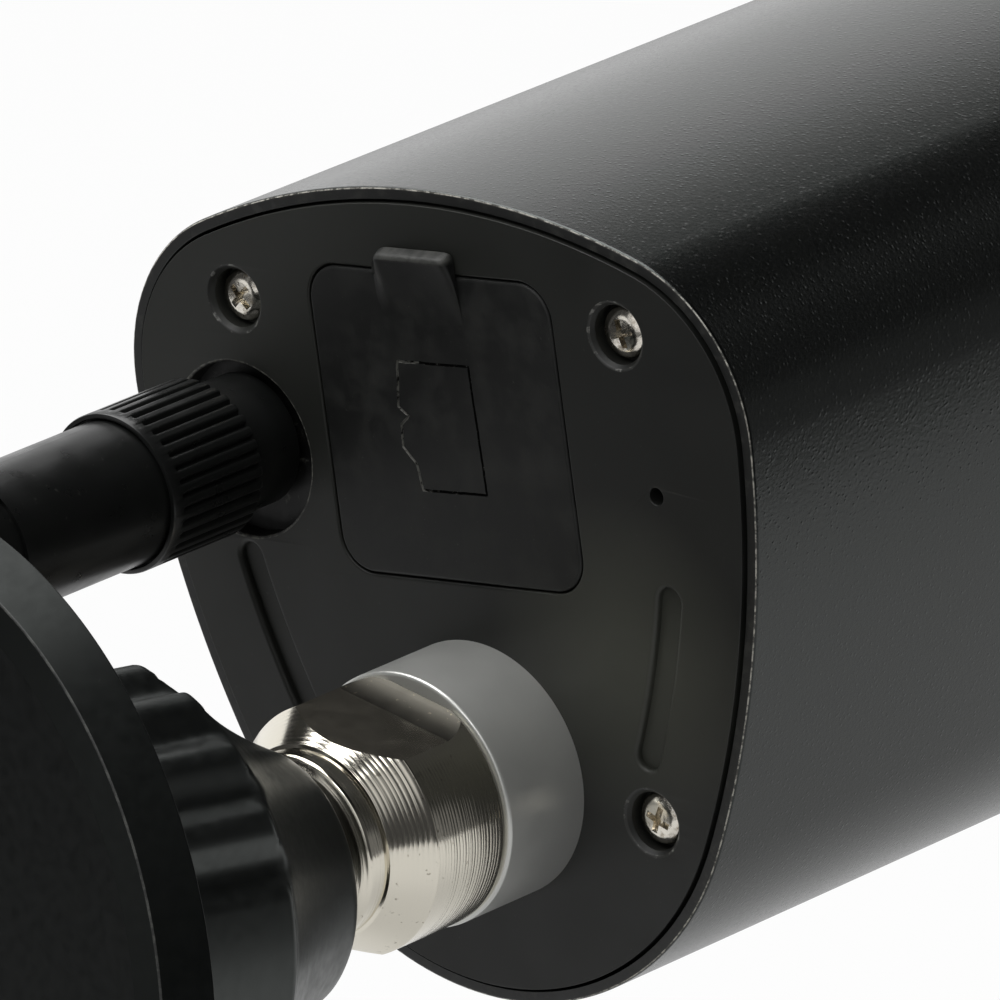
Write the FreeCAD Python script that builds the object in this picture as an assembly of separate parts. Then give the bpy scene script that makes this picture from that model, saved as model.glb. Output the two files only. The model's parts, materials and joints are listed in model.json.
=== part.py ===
"""Wireless bullet security camera with a rod antenna, on a ball-joint wall bracket."""
import math
import os

import FreeCAD
import Part

V = FreeCAD.Vector

# Housing outline, in the camera frame: x right, y forward along the housing, z up, rear face at y = 0
HOUSING_H = 72.0
HOUSING_W = 70.0
HOUSING_LEN = 150.0
R_TOP = 70.0
R_CORNER = 16.0
R_SIDE = 90.0
R_BOTTOM = 28.5
WALL = 1.5
PLATE_GAP = 0.45
EDGE_BREAK = 0.3

# Rear plate and what it carries
PLATE_T = 3.0
PILLAR_END = 4.8
UPPER_SCREW = (21.6, 24.8)
LOWER_SCREW = (18.6, -18.1)
SCREW_WELL_R = 2.9
SCREW_WELL_DEPTH = 2.2
SCREW_WELL_BEVEL = 0.4
SCREW_HEAD_R = 2.3
SCREW_R = 1.2
SCREW_LEN = 10.0
PORT_R = 3.2
WEB_T = 2.4
GROOVE_INSET = 9.2
GROOVE_W = 2.4
GROOVE_DEPTH = 0.9
GROOVE_FROM_DEG = -13.2
GROOVE_TO_DEG = -23.7
MIC_POS = (23.9, 11.0)
MIC_HOLE_R = 0.75

# Card cover and card slot
COVER_X = (-12.9, 14.6)
COVER_Z = (1.4, 28.8)
COVER_CORNER_R = 3.4
COVER_GAP = 0.22
COVER_T = 1.7
RECESS_DEPTH = 1.9
TAB_X = (-3.8, 4.5)
TAB_TOP = 30.5
ICON_LINE = 0.36
ICON_DEPTH = 0.3
CARD_SLOT = (-5.2, 6.2, 14.2, 15.8)
CARD_BOARD_Z = 11.6
CARD_BOARD_END = 28.0
RAIL_X = 12.0
RAIL_SIZE = 2.0

# Antenna, on an axis parallel to the housing, a little above the middle of its well
ANTENNA_X = -23.0
ANTENNA_Z = 12.1
ANTENNA_WELL_Z = 11.4
ANTENNA_WELL_R = 7.75
ANTENNA_WELL_DEPTH = 2.0
WELL_BACK = 5.0
STUD_R = 3.1
STUD_END = -9.0
NUT_ROOM_R = 4.9
COLLAR_R = 7.1
COLLAR_MOUTH = -16.5
COLLAR_LIP = 1.3
RIBS_END = -5.0
COLLAR_NECK_R = 5.9
COLLAR_END = 1.0
RIB_COUNT = 36
RIB_GROOVE_R = 0.42
PLUG_R = 5.6
BARREL_R = 6.45
BARREL_END = -34.0
KNUCKLE_Y = -40.0
EAR_SLOT = 6.4
TONGUE_T = 6.0
WHIP_LEN = 95.0
WHIP_TIP_R = 4.9
PIN_R = 1.5

# Bracket stem, turned about an axis parallel to the housing
STEM_Z = -15.0
BOSS_R = 11.35
BOSS_END = -9.65
STEM_R = 11.1
STEM_SHOULDER = -18.2
CONE_END = -21.7
CONE_END_R = 8.6
NECK_R = 8.35
NECK_END = -23.6
WAIST_R = 5.6
BALL_Y = -38.0
BALL_R = 12.5
FLAT_HALF = 9.25
FLAT_TURN_DEG = 17.3
FLAT_RUNOUT = -13.2
CUTTER_R = 8.0
SPIGOT_R = 8.0
CABLE_BORE_R = 3.5

# Wall bracket, in the row frame: wall face at y = 0, bracket axis along +y
BALL_H = 33.5
DISC_R = 39.2
DISC_REAR_R = 37.0
DISC_FACE_R = 34.5
DISC_BEVEL = 0.7
DISC_RIM = 4.5
HUB_R = 23.5
HUB_H = 11.0
CUP_R = 16.7
CUP_BORE_R = 15.3
CUP_TOP = -4.0
SOCKET_FLOOR = -15.3
SEAT_BORE_R = 7.5
BASE_BORE_R = 6.0
WALL_SCREW_PCD = 60.0
WALL_SCREW_R = 2.25
WALL_SCREW_HEAD_R = 4.3
WALL_SCREW_DEG = (100.0, 220.0, 340.0)
RING_R = 21.2
RING_BORE_R = 17.0
RING_REAR = -22.0
RING_SHOULDER = -3.6
GRIP_FRONT = -5.3
NOSE_START_R = 20.2
NOSE_MID = 2.4
NOSE_MID_R = 15.0
NOSE_TIP = 9.8
NOSE_TIP_R = 11.0
LIP_R = 10.4
FLUTE_R = 4.5
FLUTE_DEPTH = 0.9
FLUTE_PITCH_DEG = 18.75
FLUTES_PER_GROUP = 5
FLUTE_GROUPS = 3
FLUTE_GROUP_DEG = 55.5

# How the camera stands on its ball at rest
REST_TILT_DEG = 10.4
REST_TILT_AXIS_DEG = 48.4

# Front end and inside
LENS_Z = 4.0
WINDOW_R = 27.0
WINDOW_T = 2.5
BEZEL_FROM = 138.0
BEZEL_TO = 149.0
TRAY_T = 1.5
FLANGE_Y = 117.0
BOARD_T = 1.6
STANDOFF = 5.0
LED_COUNT = 8
LED_RING_R = 18.0


def cylinder(r, y0, y1, x=0.0, z=0.0):
    """Round bar along y."""
    return Part.makeCylinder(r, y1 - y0, V(x, y0, z), V(0, 1, 0))


def tube(outer, inner, y0, y1, x=0.0, z=0.0):
    return cylinder(outer, y0, y1, x, z).cut(cylinder(inner, y0, y1, x, z))


def box(x0, x1, y0, y1, z0, z1):
    return Part.makeBox(x1 - x0, y1 - y0, z1 - z0, V(x0, y0, z0))


def polygon(points):
    return Part.makePolygon(points + points[:1])


def turned(points, x=0.0, z=0.0):
    """Solid turned about an axis along y, from (radius, y) points in order."""
    face = Part.Face(polygon([V(x + r, y, z) for r, y in points]))
    return face.revolve(V(x, 0, z), V(0, 1, 0), 360)


def hexagon(across_flats, y0, y1, x=0.0, z=0.0):
    r = across_flats / math.sqrt(3)
    corners = []
    for k in range(6):
        a = math.radians(60 * k)
        corners.append(V(x + r * math.cos(a), y0, z + r * math.sin(a)))
    return Part.Face(polygon(corners)).extrude(V(0, y1 - y0, 0))


def rounded_block(x, z, r, y0, y1):
    """Block with round corners seen along y."""
    block = box(x[0], x[1], y0, y1, z[0], z[1])
    edges = []
    for edge in block.Edges:
        if abs(edge.tangentAt(edge.FirstParameter).y) > 0.9:
            edges.append(edge)
    return block.makeFillet(r, edges)


def mirrored(shape):
    return shape.mirror(V(0, 0, 0), V(1, 0, 0))


def fused(first, others):
    """One solid of several, with the seams between flush faces removed."""
    return first.fuse(others).removeSplitter()


def outline_centres():
    """Arc centres of the housing outline's right half: top, corner, side and bottom arcs, each tangent."""
    top = (0.0, HOUSING_H / 2 - R_TOP)
    bottom = (0.0, R_BOTTOM - HOUSING_H / 2)
    corner_x = HOUSING_W / 2 - R_CORNER
    corner = (corner_x, top[1] + math.sqrt((R_TOP - R_CORNER) ** 2 - corner_x ** 2))
    ra = R_SIDE - R_CORNER
    rb = R_SIDE - R_BOTTOM
    dx = bottom[0] - corner[0]
    dz = bottom[1] - corner[1]
    d = math.hypot(dx, dz)
    along = (ra ** 2 - rb ** 2 + d ** 2) / (2 * d)
    off = math.sqrt(ra ** 2 - along ** 2)
    side = (corner[0] + along * dx / d + off * dz / d, corner[1] + along * dz / d - off * dx / d)
    return top, corner, side, bottom


TOP_C, CORNER_C, SIDE_C, BOTTOM_C = outline_centres()


def direction_deg(start, end):
    return math.degrees(math.atan2(end[1] - start[1], end[0] - start[0]))


def on_arc(centre, r, deg, y):
    a = math.radians(deg)
    return V(centre[0] + r * math.cos(a), y, centre[1] + r * math.sin(a))


def arc(centre, r, deg0, deg1, y):
    points = [on_arc(centre, r, deg, y) for deg in (deg0, (deg0 + deg1) / 2, deg1)]
    return Part.Arc(*points).toShape()


def outline_wire(inset, y):
    """The housing outline moved inwards by inset: six tangent arcs on the same centres."""
    top_deg = direction_deg(TOP_C, CORNER_C)
    side_deg = direction_deg(SIDE_C, CORNER_C)
    bottom_deg = direction_deg(SIDE_C, BOTTOM_C)
    right = [
        arc(CORNER_C, R_CORNER - inset, top_deg, side_deg, y),
        arc(SIDE_C, R_SIDE - inset, side_deg, bottom_deg, y),
    ]
    edges = [arc(TOP_C, R_TOP - inset, 180 - top_deg, top_deg, y)]
    edges += right
    edges.append(arc(BOTTOM_C, R_BOTTOM - inset, bottom_deg, -180 - bottom_deg, y))
    edges += [mirrored(edge) for edge in right]
    return Part.Wire(Part.__sortEdges__(edges))


def outline_prism(inset, y0, y1):
    return Part.Face(outline_wire(inset, y0)).extrude(V(0, y1 - y0, 0))


def broken_edge_prism(inset, y0, y1, both_ends):
    """Prism of the outline with a small bevel round its rear end, and its front end too if asked."""
    front = y1 - EDGE_BREAK if both_ends else y1
    body = outline_prism(inset, y0 + EDGE_BREAK, front)
    wires = [outline_wire(inset + EDGE_BREAK, y0), outline_wire(inset, y0 + EDGE_BREAK)]
    caps = [Part.makeLoft(wires, True, True)]
    if both_ends:
        wires = [outline_wire(inset, front), outline_wire(inset + EDGE_BREAK, y1)]
        caps.append(Part.makeLoft(wires, True, True))
    return fused(body, caps)


def screw_places():
    places = []
    for x, z in (UPPER_SCREW, LOWER_SCREW):
        places += [(x, z), (-x, z)]
    return places


def screw_port(x, z):
    """Screw channel inside the housing, on a web to its wall."""
    centre = CORNER_C if z > 0 else BOTTOM_C
    cx = math.copysign(centre[0], x)
    reach = 10.0
    web = box(0, reach, PILLAR_END, BEZEL_FROM, -WEB_T / 2, WEB_T / 2)
    web.rotate(V(0, 0, 0), V(0, -1, 0), direction_deg((cx, centre[1]), (x, z)))
    web.translate(V(x, 0, z))
    return fused(cylinder(PORT_R, PILLAR_END, BEZEL_FROM, x, z), [web])


def housing():
    shell = broken_edge_prism(0, 0, HOUSING_LEN, True)
    shell = shell.cut(outline_prism(WALL, -1, HOUSING_LEN + 1))
    limit = outline_prism(WALL / 2, PILLAR_END, BEZEL_FROM)
    ports = [screw_port(x, z).common(limit) for x, z in screw_places()]
    shell = fused(shell, ports)
    pilots = []
    for x, z in screw_places():
        pilots.append(cylinder(SCREW_R + 0.05, PILLAR_END, PILLAR_END + SCREW_LEN, x, z))
    return shell.cut(pilots)


def side_groove():
    """Blind groove that follows the housing's side, with round ends."""
    r = R_SIDE - GROOVE_INSET
    half = GROOVE_W / 2
    edges = [
        arc(SIDE_C, r + half, GROOVE_FROM_DEG, GROOVE_TO_DEG, 0),
        arc(SIDE_C, r - half, GROOVE_FROM_DEG, GROOVE_TO_DEG, 0),
    ]
    for deg, turn in ((GROOVE_FROM_DEG, 90), (GROOVE_TO_DEG, -90)):
        centre = on_arc(SIDE_C, r, deg, 0)
        edges.append(arc((centre.x, centre.z), half, deg, deg + 2 * turn, 0))
    wire = Part.Wire(Part.__sortEdges__(edges))
    return Part.Face(wire).extrude(V(0, GROOVE_DEPTH, 0))


def rear_plate():
    plate = broken_edge_prism(WALL + PLATE_GAP, 0, PLATE_T, False)
    half = RAIL_SIZE / 2
    low = CARD_BOARD_Z - RAIL_SIZE
    rails = []
    for x in (-RAIL_X, RAIL_X):
        rails.append(box(x - half, x + half, PLATE_T, CARD_BOARD_END, low, CARD_BOARD_Z))
    pillars = [cylinder(PORT_R + 0.2, PLATE_T, PILLAR_END, x, z) for x, z in screw_places()]
    well_back = cylinder(ANTENNA_WELL_R + 1.5, PLATE_T, WELL_BACK, ANTENNA_X, ANTENNA_WELL_Z)
    well_back = well_back.common(outline_prism(WALL + 2.2, PLATE_T, WELL_BACK))
    plate = fused(plate, pillars + rails + [well_back])
    cuts = []
    for x, z in screw_places():
        cuts.append(cylinder(SCREW_WELL_R, 0, SCREW_WELL_DEPTH, x, z))
        cuts.append(cylinder(SCREW_R + 0.2, 0, PILLAR_END, x, z))
        rim_r = SCREW_WELL_R + SCREW_WELL_BEVEL
        cuts.append(turned(((0, 0), (rim_r, 0), (0, rim_r)), x, z))
    groove = side_groove()
    cuts += [groove, mirrored(groove)]
    cuts.append(cylinder(MIC_HOLE_R, 0, PLATE_T, MIC_POS[0], MIC_POS[1]))
    cuts.append(rounded_block(COVER_X, COVER_Z, COVER_CORNER_R, 0, RECESS_DEPTH))
    cuts.append(box(CARD_SLOT[0], CARD_SLOT[1], RECESS_DEPTH, PLATE_T, CARD_SLOT[2], CARD_SLOT[3]))
    cuts.append(cylinder(ANTENNA_WELL_R, 0, ANTENNA_WELL_DEPTH, ANTENNA_X, ANTENNA_WELL_Z))
    cuts.append(cylinder(STUD_R + 0.2, 0, WELL_BACK, ANTENNA_X, ANTENNA_Z))
    cuts.append(cylinder(SPIGOT_R + 0.1, 0, PLATE_T, 0, STEM_Z))
    return plate.cut(cuts)


def rear_gasket():
    ring = outline_prism(WALL + 0.05, PLATE_T, PILLAR_END - 0.1)
    return ring.cut(outline_prism(WALL + 2.0, PLATE_T, PILLAR_END))


def plate_screw(x, z):
    """Pan-head screw with a cross recess."""
    seat = SCREW_WELL_DEPTH
    profile = (
        (0, seat - 1.35),
        (1.2, seat - 1.25),
        (SCREW_HEAD_R - 0.3, seat - 0.75),
        (SCREW_HEAD_R, seat - 0.3),
        (SCREW_HEAD_R, seat),
        (SCREW_R, seat),
        (SCREW_R, seat + SCREW_LEN - 0.8),
        (SCREW_R - 0.5, seat + SCREW_LEN),
        (0, seat + SCREW_LEN),
    )
    screw = turned(profile, x, z)
    wide = 1.3
    slot = 0.28
    cross = [
        box(x - wide, x + wide, seat - 1.5, seat - 0.5, z - slot, z + slot),
        box(x - slot, x + slot, seat - 1.5, seat - 0.5, z - wide, z + wide),
    ]
    return screw.cut(cross)


def plate_screws():
    return Part.makeCompound([plate_screw(x, z) for x, z in screw_places()])


def card_icon():
    """Engraved outline of a small memory card."""
    corners = (
        (-3.65, 20.55),
        (4.65, 20.55),
        (4.65, 9.4),
        (-2.65, 9.4),
        (-2.85, 11.2),
        (-3.9, 12.7),
        (-3.9, 14.6),
        (-3.1, 15.3),
        (-3.75, 15.95),
    )
    wire = polygon([V(x, 0, z) for x, z in corners])
    wide = wire.makeOffset2D(ICON_LINE / 2, 2)
    narrow = wire.makeOffset2D(-ICON_LINE / 2, 2)
    line = Part.Face(wide).cut(Part.Face(narrow))
    return line.extrude(V(0, ICON_DEPTH, 0))


def sd_cover():
    """Rubber plug with a raised pull tab, hinged by its lower edge."""
    x = (COVER_X[0] + COVER_GAP, COVER_X[1] - COVER_GAP)
    z = (COVER_Z[0] + COVER_GAP, COVER_Z[1] - COVER_GAP)
    cover = rounded_block(x, z, COVER_CORNER_R - COVER_GAP, 0, COVER_T)
    cover = cover.cut(card_icon())
    side = (
        (0.4, TAB_TOP - 7.0),
        (0.0, TAB_TOP - 6.6),
        (-1.0, TAB_TOP - 1.4),
        (-1.15, TAB_TOP - 0.5),
        (-0.9, TAB_TOP),
        (-0.15, TAB_TOP),
        (-0.15, z[1] - 0.3),
        (0.4, z[1] - 0.6),
    )
    tab = Part.Face(polygon([V(TAB_X[0], a, b) for a, b in side]))
    return fused(cover, [tab.extrude(V(TAB_X[1] - TAB_X[0], 0, 0))])


def sd_board():
    half = RAIL_X + 1.4
    return box(-half, half, PLATE_T + 0.3, CARD_BOARD_END, CARD_BOARD_Z, CARD_BOARD_Z + BOARD_T)


def sd_socket():
    """Card socket with its mouth at the slot in the plate."""
    floor = CARD_BOARD_Z + BOARD_T
    body = box(-6.6, 7.6, PLATE_T + 0.3, 19, floor, floor + 3.2)
    return body.cut(box(-5.0, 6.0, PLATE_T, 18, CARD_SLOT[2] + 0.2, CARD_SLOT[3] - 0.2))


def microphone():
    x, z = MIC_POS
    capsule = cylinder(3.0, PLATE_T, PLATE_T + 2.7, x, z)
    return capsule.cut(cylinder(MIC_HOLE_R, PLATE_T, PLATE_T + 0.8, x, z))


def antenna_connector():
    """Bulkhead connector: threaded stud through the plate, hexagon body and solder cup inside."""
    stud = cylinder(STUD_R, STUD_END, WELL_BACK + 0.8, ANTENNA_X, ANTENNA_Z)
    body = hexagon(9.0, WELL_BACK + 0.8, WELL_BACK + 4.0, ANTENNA_X, ANTENNA_Z)
    cup = cylinder(2.0, WELL_BACK + 4.0, WELL_BACK + 8.0, ANTENNA_X, ANTENNA_Z)
    socket = cylinder(2.2, STUD_END, -3.0, ANTENNA_X, ANTENNA_Z)
    return fused(stud, [body, cup]).cut(socket)


def connector_nut():
    nut = hexagon(8.0, 0.2, ANTENNA_WELL_DEPTH, ANTENNA_X, ANTENNA_Z)
    return nut.cut(cylinder(STUD_R + 0.05, 0, ANTENNA_WELL_DEPTH, ANTENNA_X, ANTENNA_Z))


def connector_seal():
    return tube(5.4, STUD_R + 0.1, WELL_BACK, WELL_BACK + 0.8, ANTENNA_X, ANTENNA_Z)


def antenna_collar():
    """Coupling nut: a smooth lip at its mouth, straight ribs, and a narrower neck into the well."""
    outer = (
        (0, COLLAR_MOUTH),
        (COLLAR_R - 0.25, COLLAR_MOUTH),
        (COLLAR_R, COLLAR_MOUTH + 0.25),
        (COLLAR_R, RIBS_END - 0.4),
        (COLLAR_R - 0.4, RIBS_END),
        (COLLAR_NECK_R, RIBS_END),
        (COLLAR_NECK_R, COLLAR_END),
        (0, COLLAR_END),
    )
    nut = turned(outer, ANTENNA_X, ANTENNA_Z)
    cuts = [
        cylinder(BARREL_R + 0.15, COLLAR_MOUTH, COLLAR_MOUTH + 0.8, ANTENNA_X, ANTENNA_Z),
        cylinder(PLUG_R + 0.15, COLLAR_MOUTH, COLLAR_MOUTH + 3.2, ANTENNA_X, ANTENNA_Z),
        cylinder(STUD_R + 0.25, COLLAR_MOUTH, COLLAR_END, ANTENNA_X, ANTENNA_Z),
        cylinder(NUT_ROOM_R, -1.4, COLLAR_END, ANTENNA_X, ANTENNA_Z),
    ]
    for k in range(RIB_COUNT):
        a = 2 * math.pi * k / RIB_COUNT
        x = ANTENNA_X + COLLAR_R * math.cos(a)
        z = ANTENNA_Z + COLLAR_R * math.sin(a)
        cuts.append(cylinder(RIB_GROOVE_R, COLLAR_MOUTH + COLLAR_LIP, RIBS_END, x, z))
    return nut.cut(cuts)


def across_antenna(r, x0, x1):
    """Round bar along x through the antenna's knuckle."""
    return Part.makeCylinder(r, x1 - x0, V(ANTENNA_X + x0, KNUCKLE_Y, ANTENNA_Z), V(1, 0, 0))


def antenna_barrel():
    """Lower part of the antenna: plug, smooth barrel and the two ears of the knuckle."""
    barrel = cylinder(BARREL_R, BARREL_END, COLLAR_MOUTH + 0.7, ANTENNA_X, ANTENNA_Z)
    plug = cylinder(PLUG_R, COLLAR_MOUTH + 0.7, COLLAR_MOUTH + 3.0, ANTENNA_X, ANTENNA_Z)
    core = cylinder(2.9, COLLAR_MOUTH + 3.0, STUD_END - 0.2, ANTENNA_X, ANTENNA_Z)
    ear_r = BARREL_R - 0.35
    ears = cylinder(ear_r, KNUCKLE_Y, BARREL_END, ANTENNA_X, ANTENNA_Z)
    round_end = across_antenna(ear_r, -ear_r, ear_r)
    around = cylinder(ear_r, KNUCKLE_Y - ear_r, BARREL_END, ANTENNA_X, ANTENNA_Z)
    body = fused(barrel, [plug, core, ears, round_end.common(around)])
    half = EAR_SLOT / 2
    slot = box(-half, half, KNUCKLE_Y - 10, BARREL_END + 0.6, -10, 10)
    slot.translate(V(ANTENNA_X, 0, ANTENNA_Z))
    return body.cut([slot, across_antenna(PIN_R, -BARREL_R, BARREL_R)])


def knuckle_pin():
    return across_antenna(PIN_R, -5.4, 5.4)


def antenna_whip():
    """Upper part of the antenna, bent square at the knuckle, with a tongue between the ears."""
    half = TONGUE_T / 2
    tongue_r = 5.9
    start = ANTENNA_Z + 6.9
    tongue = across_antenna(tongue_r, -half, half)
    web = box(
        ANTENNA_X - half, ANTENNA_X + half, KNUCKLE_Y - 5.4, KNUCKLE_Y + 5.4, ANTENNA_Z, start + 1
    )
    tip = ANTENNA_Z + WHIP_LEN
    round_r = 1.5
    foot_r = BARREL_R - 0.05
    profile = (
        (0, start),
        (foot_r - 0.6, start),
        (foot_r, start + 0.6),
        (foot_r, start + 14),
        (WHIP_TIP_R, tip - round_r),
        (WHIP_TIP_R - 0.5, tip - 0.4),
        (WHIP_TIP_R - round_r, tip),
        (0, tip),
    )
    face = Part.Face(polygon([V(ANTENNA_X + r, KNUCKLE_Y, z) for r, z in profile]))
    rod = face.revolve(V(ANTENNA_X, KNUCKLE_Y, 0), V(0, 0, 1), 360)
    whip = fused(rod, [tongue, web])
    return whip.cut(across_antenna(PIN_R + 0.06, -half, half))


def stem_collar():
    profile = (
        (SPIGOT_R + 0.1, BOSS_END + 0.1),
        (BOSS_R - 0.4, BOSS_END + 0.1),
        (BOSS_R, BOSS_END + 0.5),
        (BOSS_R, 0),
        (SPIGOT_R + 0.1, 0),
    )
    return turned(profile, 0, STEM_Z)


def wrench_flat(side):
    """What the milling cutter takes off one side of the stem, with its curved run-out."""
    reach = 14.0
    block = box(-reach, reach, CONE_END - 1, FLAT_RUNOUT, FLAT_HALF, FLAT_HALF + reach)
    scoop = Part.makeCylinder(
        CUTTER_R, 2 * reach, V(-reach, FLAT_RUNOUT, FLAT_HALF + CUTTER_R), V(1, 0, 0)
    )
    cutter = block.fuse(scoop)
    cutter.rotate(V(0, 0, 0), V(0, 1, 0), FLAT_TURN_DEG + side)
    cutter.translate(V(0, 0, STEM_Z))
    return cutter


def stem():
    """Turned stem: ball, waist, neck, conical shoulder, body with two flats, and a threaded spigot."""
    waist_end = NECK_END - 2.2
    profile = (
        (0, BALL_Y),
        (WAIST_R, BALL_Y),
        (WAIST_R, waist_end),
        (NECK_R, NECK_END),
        (NECK_R, CONE_END - 0.25),
        (CONE_END_R, CONE_END),
        (STEM_R - 0.3, STEM_SHOULDER - 0.35),
        (STEM_R, STEM_SHOULDER),
        (STEM_R, BOSS_END - 0.45),
        (STEM_R - 0.45, BOSS_END),
        (SPIGOT_R, BOSS_END),
        (SPIGOT_R, 11.0),
        (0, 11.0),
    )
    body = turned(profile, 0, STEM_Z)
    ball = Part.makeSphere(BALL_R, V(0, BALL_Y, STEM_Z))
    cuts = [wrench_flat(0), wrench_flat(180)]
    cuts.append(cylinder(CABLE_BORE_R, BALL_Y - BALL_R, 11.0, 0, STEM_Z))
    return fused(body, [ball]).cut(cuts)


def stem_nut():
    nut = hexagon(22.0, PLATE_T + 0.2, 9.0, 0, STEM_Z)
    return nut.cut(cylinder(SPIGOT_R, PLATE_T, 9.0, 0, STEM_Z))


def front_bezel():
    """Front frame inside the housing's mouth, with a step for the window."""
    bezel = outline_prism(WALL + PLATE_GAP, BEZEL_FROM, BEZEL_TO)
    ledge = BEZEL_TO - WINDOW_T - 1.6
    flare = (
        (0, BEZEL_TO - 1.2),
        (WINDOW_R, BEZEL_TO - 1.2),
        (WINDOW_R + 1.2, BEZEL_TO),
        (0, BEZEL_TO),
    )
    cuts = [
        cylinder(WINDOW_R - 2.0, BEZEL_FROM, BEZEL_TO, 0, LENS_Z),
        cylinder(WINDOW_R, ledge, BEZEL_TO, 0, LENS_Z),
        turned(flare, 0, LENS_Z),
    ]
    return bezel.cut(cuts)


def window_seal():
    ledge = BEZEL_TO - WINDOW_T - 1.6
    return tube(WINDOW_R, WINDOW_R - 1.8, ledge, ledge + 0.4, 0, LENS_Z)


def front_window():
    back = BEZEL_TO - WINDOW_T - 1.2
    return cylinder(WINDOW_R - 0.1, back, back + WINDOW_T, 0, LENS_Z)


def chassis_tray():
    """Folded sheet: a floor on the lower screw ports and a flange for the sensor board."""
    half = 24.0
    low = LOWER_SCREW[1] + PORT_R
    floor = box(-half, half, 16, FLANGE_Y + TRAY_T, low, low + TRAY_T)
    flange = box(-18, 18, FLANGE_Y, FLANGE_Y + TRAY_T, low, LENS_Z + 19)
    posts = []
    for x, y in standoff_places():
        post = Part.makeCylinder(2.4, STANDOFF, V(x, y, low + TRAY_T))
        posts.append(post)
    tray = fused(floor, [flange] + posts)
    holes = [cylinder(5.0, FLANGE_Y, FLANGE_Y + TRAY_T, 0, LENS_Z)]
    for x, y in standoff_places():
        holes.append(Part.makeCylinder(1.05, STANDOFF, V(x, y, low + TRAY_T)))
    return tray.cut(holes)


def standoff_places():
    return [(x, y) for x in (-19.0, 19.0) for y in (26.0, 108.0)]


def board_level():
    return LOWER_SCREW[1] + PORT_R + TRAY_T + STANDOFF


def main_board():
    z = board_level()
    board = box(-22, 22, 20, 112, z, z + BOARD_T)
    holes = [Part.makeCylinder(1.25, BOARD_T, V(x, y, z)) for x, y in standoff_places()]
    return board.cut(holes)


def board_screws():
    top = board_level() + BOARD_T
    screws = []
    for x, y in standoff_places():
        head = Part.makeCylinder(1.9, 1.3, V(x, y, top))
        shank = Part.makeCylinder(1.0, BOARD_T + 4, V(x, y, top - BOARD_T - 4))
        screws.append(head.fuse(shank))
    return Part.makeCompound(screws)


def heat_spreader():
    z = board_level()
    return box(-11, 11, 58, 84, z - STANDOFF, z)


def wifi_module():
    z = board_level() + BOARD_T
    return box(-18, -4, 32, 52, z, z + 3)


def sensor_board():
    front = FLANGE_Y + TRAY_T
    return box(-16, 16, front, front + BOARD_T, LENS_Z - 16, LENS_Z + 16)


def image_sensor():
    front = FLANGE_Y + TRAY_T + BOARD_T
    return box(-4, 4, front, front + 1.0, LENS_Z - 3.5, LENS_Z + 3.5)


def lens_holder():
    front = FLANGE_Y + TRAY_T + BOARD_T
    foot = box(-9, 9, front, front + 4, LENS_Z - 9, LENS_Z + 9)
    holder = fused(foot, [cylinder(8.2, front, front + 9, 0, LENS_Z)])
    return holder.cut([cylinder(6.0, front, front + 9, 0, LENS_Z)])


def lens_barrel():
    front = FLANGE_Y + TRAY_T + BOARD_T
    profile = (
        (4.2, front + 3.5),
        (6.0, front + 3.5),
        (6.0, front + 12),
        (7.6, front + 12),
        (7.6, front + 20.5),
        (6.6, front + 20.5),
        (5.6, front + 19.0),
        (4.2, front + 17.5),
    )
    return turned(profile, 0, LENS_Z)


def lens_glass():
    """Front element, a shallow dome."""
    front = FLANGE_Y + TRAY_T + BOARD_T + 17.5
    bulge = 1.4
    r = (4.2 ** 2 + bulge ** 2) / (2 * bulge)
    dome = Part.makeSphere(r, V(0, front + bulge - r, LENS_Z))
    return cylinder(4.2, front - 2.0, front + 2.0, 0, LENS_Z).common(dome)


def ir_board():
    board = cylinder(WINDOW_R - 1.5, BEZEL_FROM - BOARD_T, BEZEL_FROM, 0, LENS_Z)
    return board.cut(cylinder(9.0, BEZEL_FROM - BOARD_T, BEZEL_FROM, 0, LENS_Z))


def led_places():
    places = []
    for k in range(LED_COUNT):
        a = 2 * math.pi * (k + 0.5) / LED_COUNT
        places.append((LED_RING_R * math.cos(a), LENS_Z + LED_RING_R * math.sin(a)))
    return places


def ir_led(x, z):
    profile = (
        (0, BEZEL_FROM),
        (2.9, BEZEL_FROM),
        (2.9, BEZEL_FROM + 0.9),
        (2.45, BEZEL_FROM + 0.9),
        (2.45, BEZEL_FROM + 2.8),
        (1.7, BEZEL_FROM + 4.2),
        (0, BEZEL_FROM + 4.7),
    )
    return turned(profile, x, z)


def ir_leds():
    return Part.makeCompound([ir_led(x, z) for x, z in led_places()])


def light_sensor():
    return cylinder(1.6, BEZEL_FROM, BEZEL_FROM + 2.0, 0, LENS_Z - LED_RING_R - 3.0)


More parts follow.
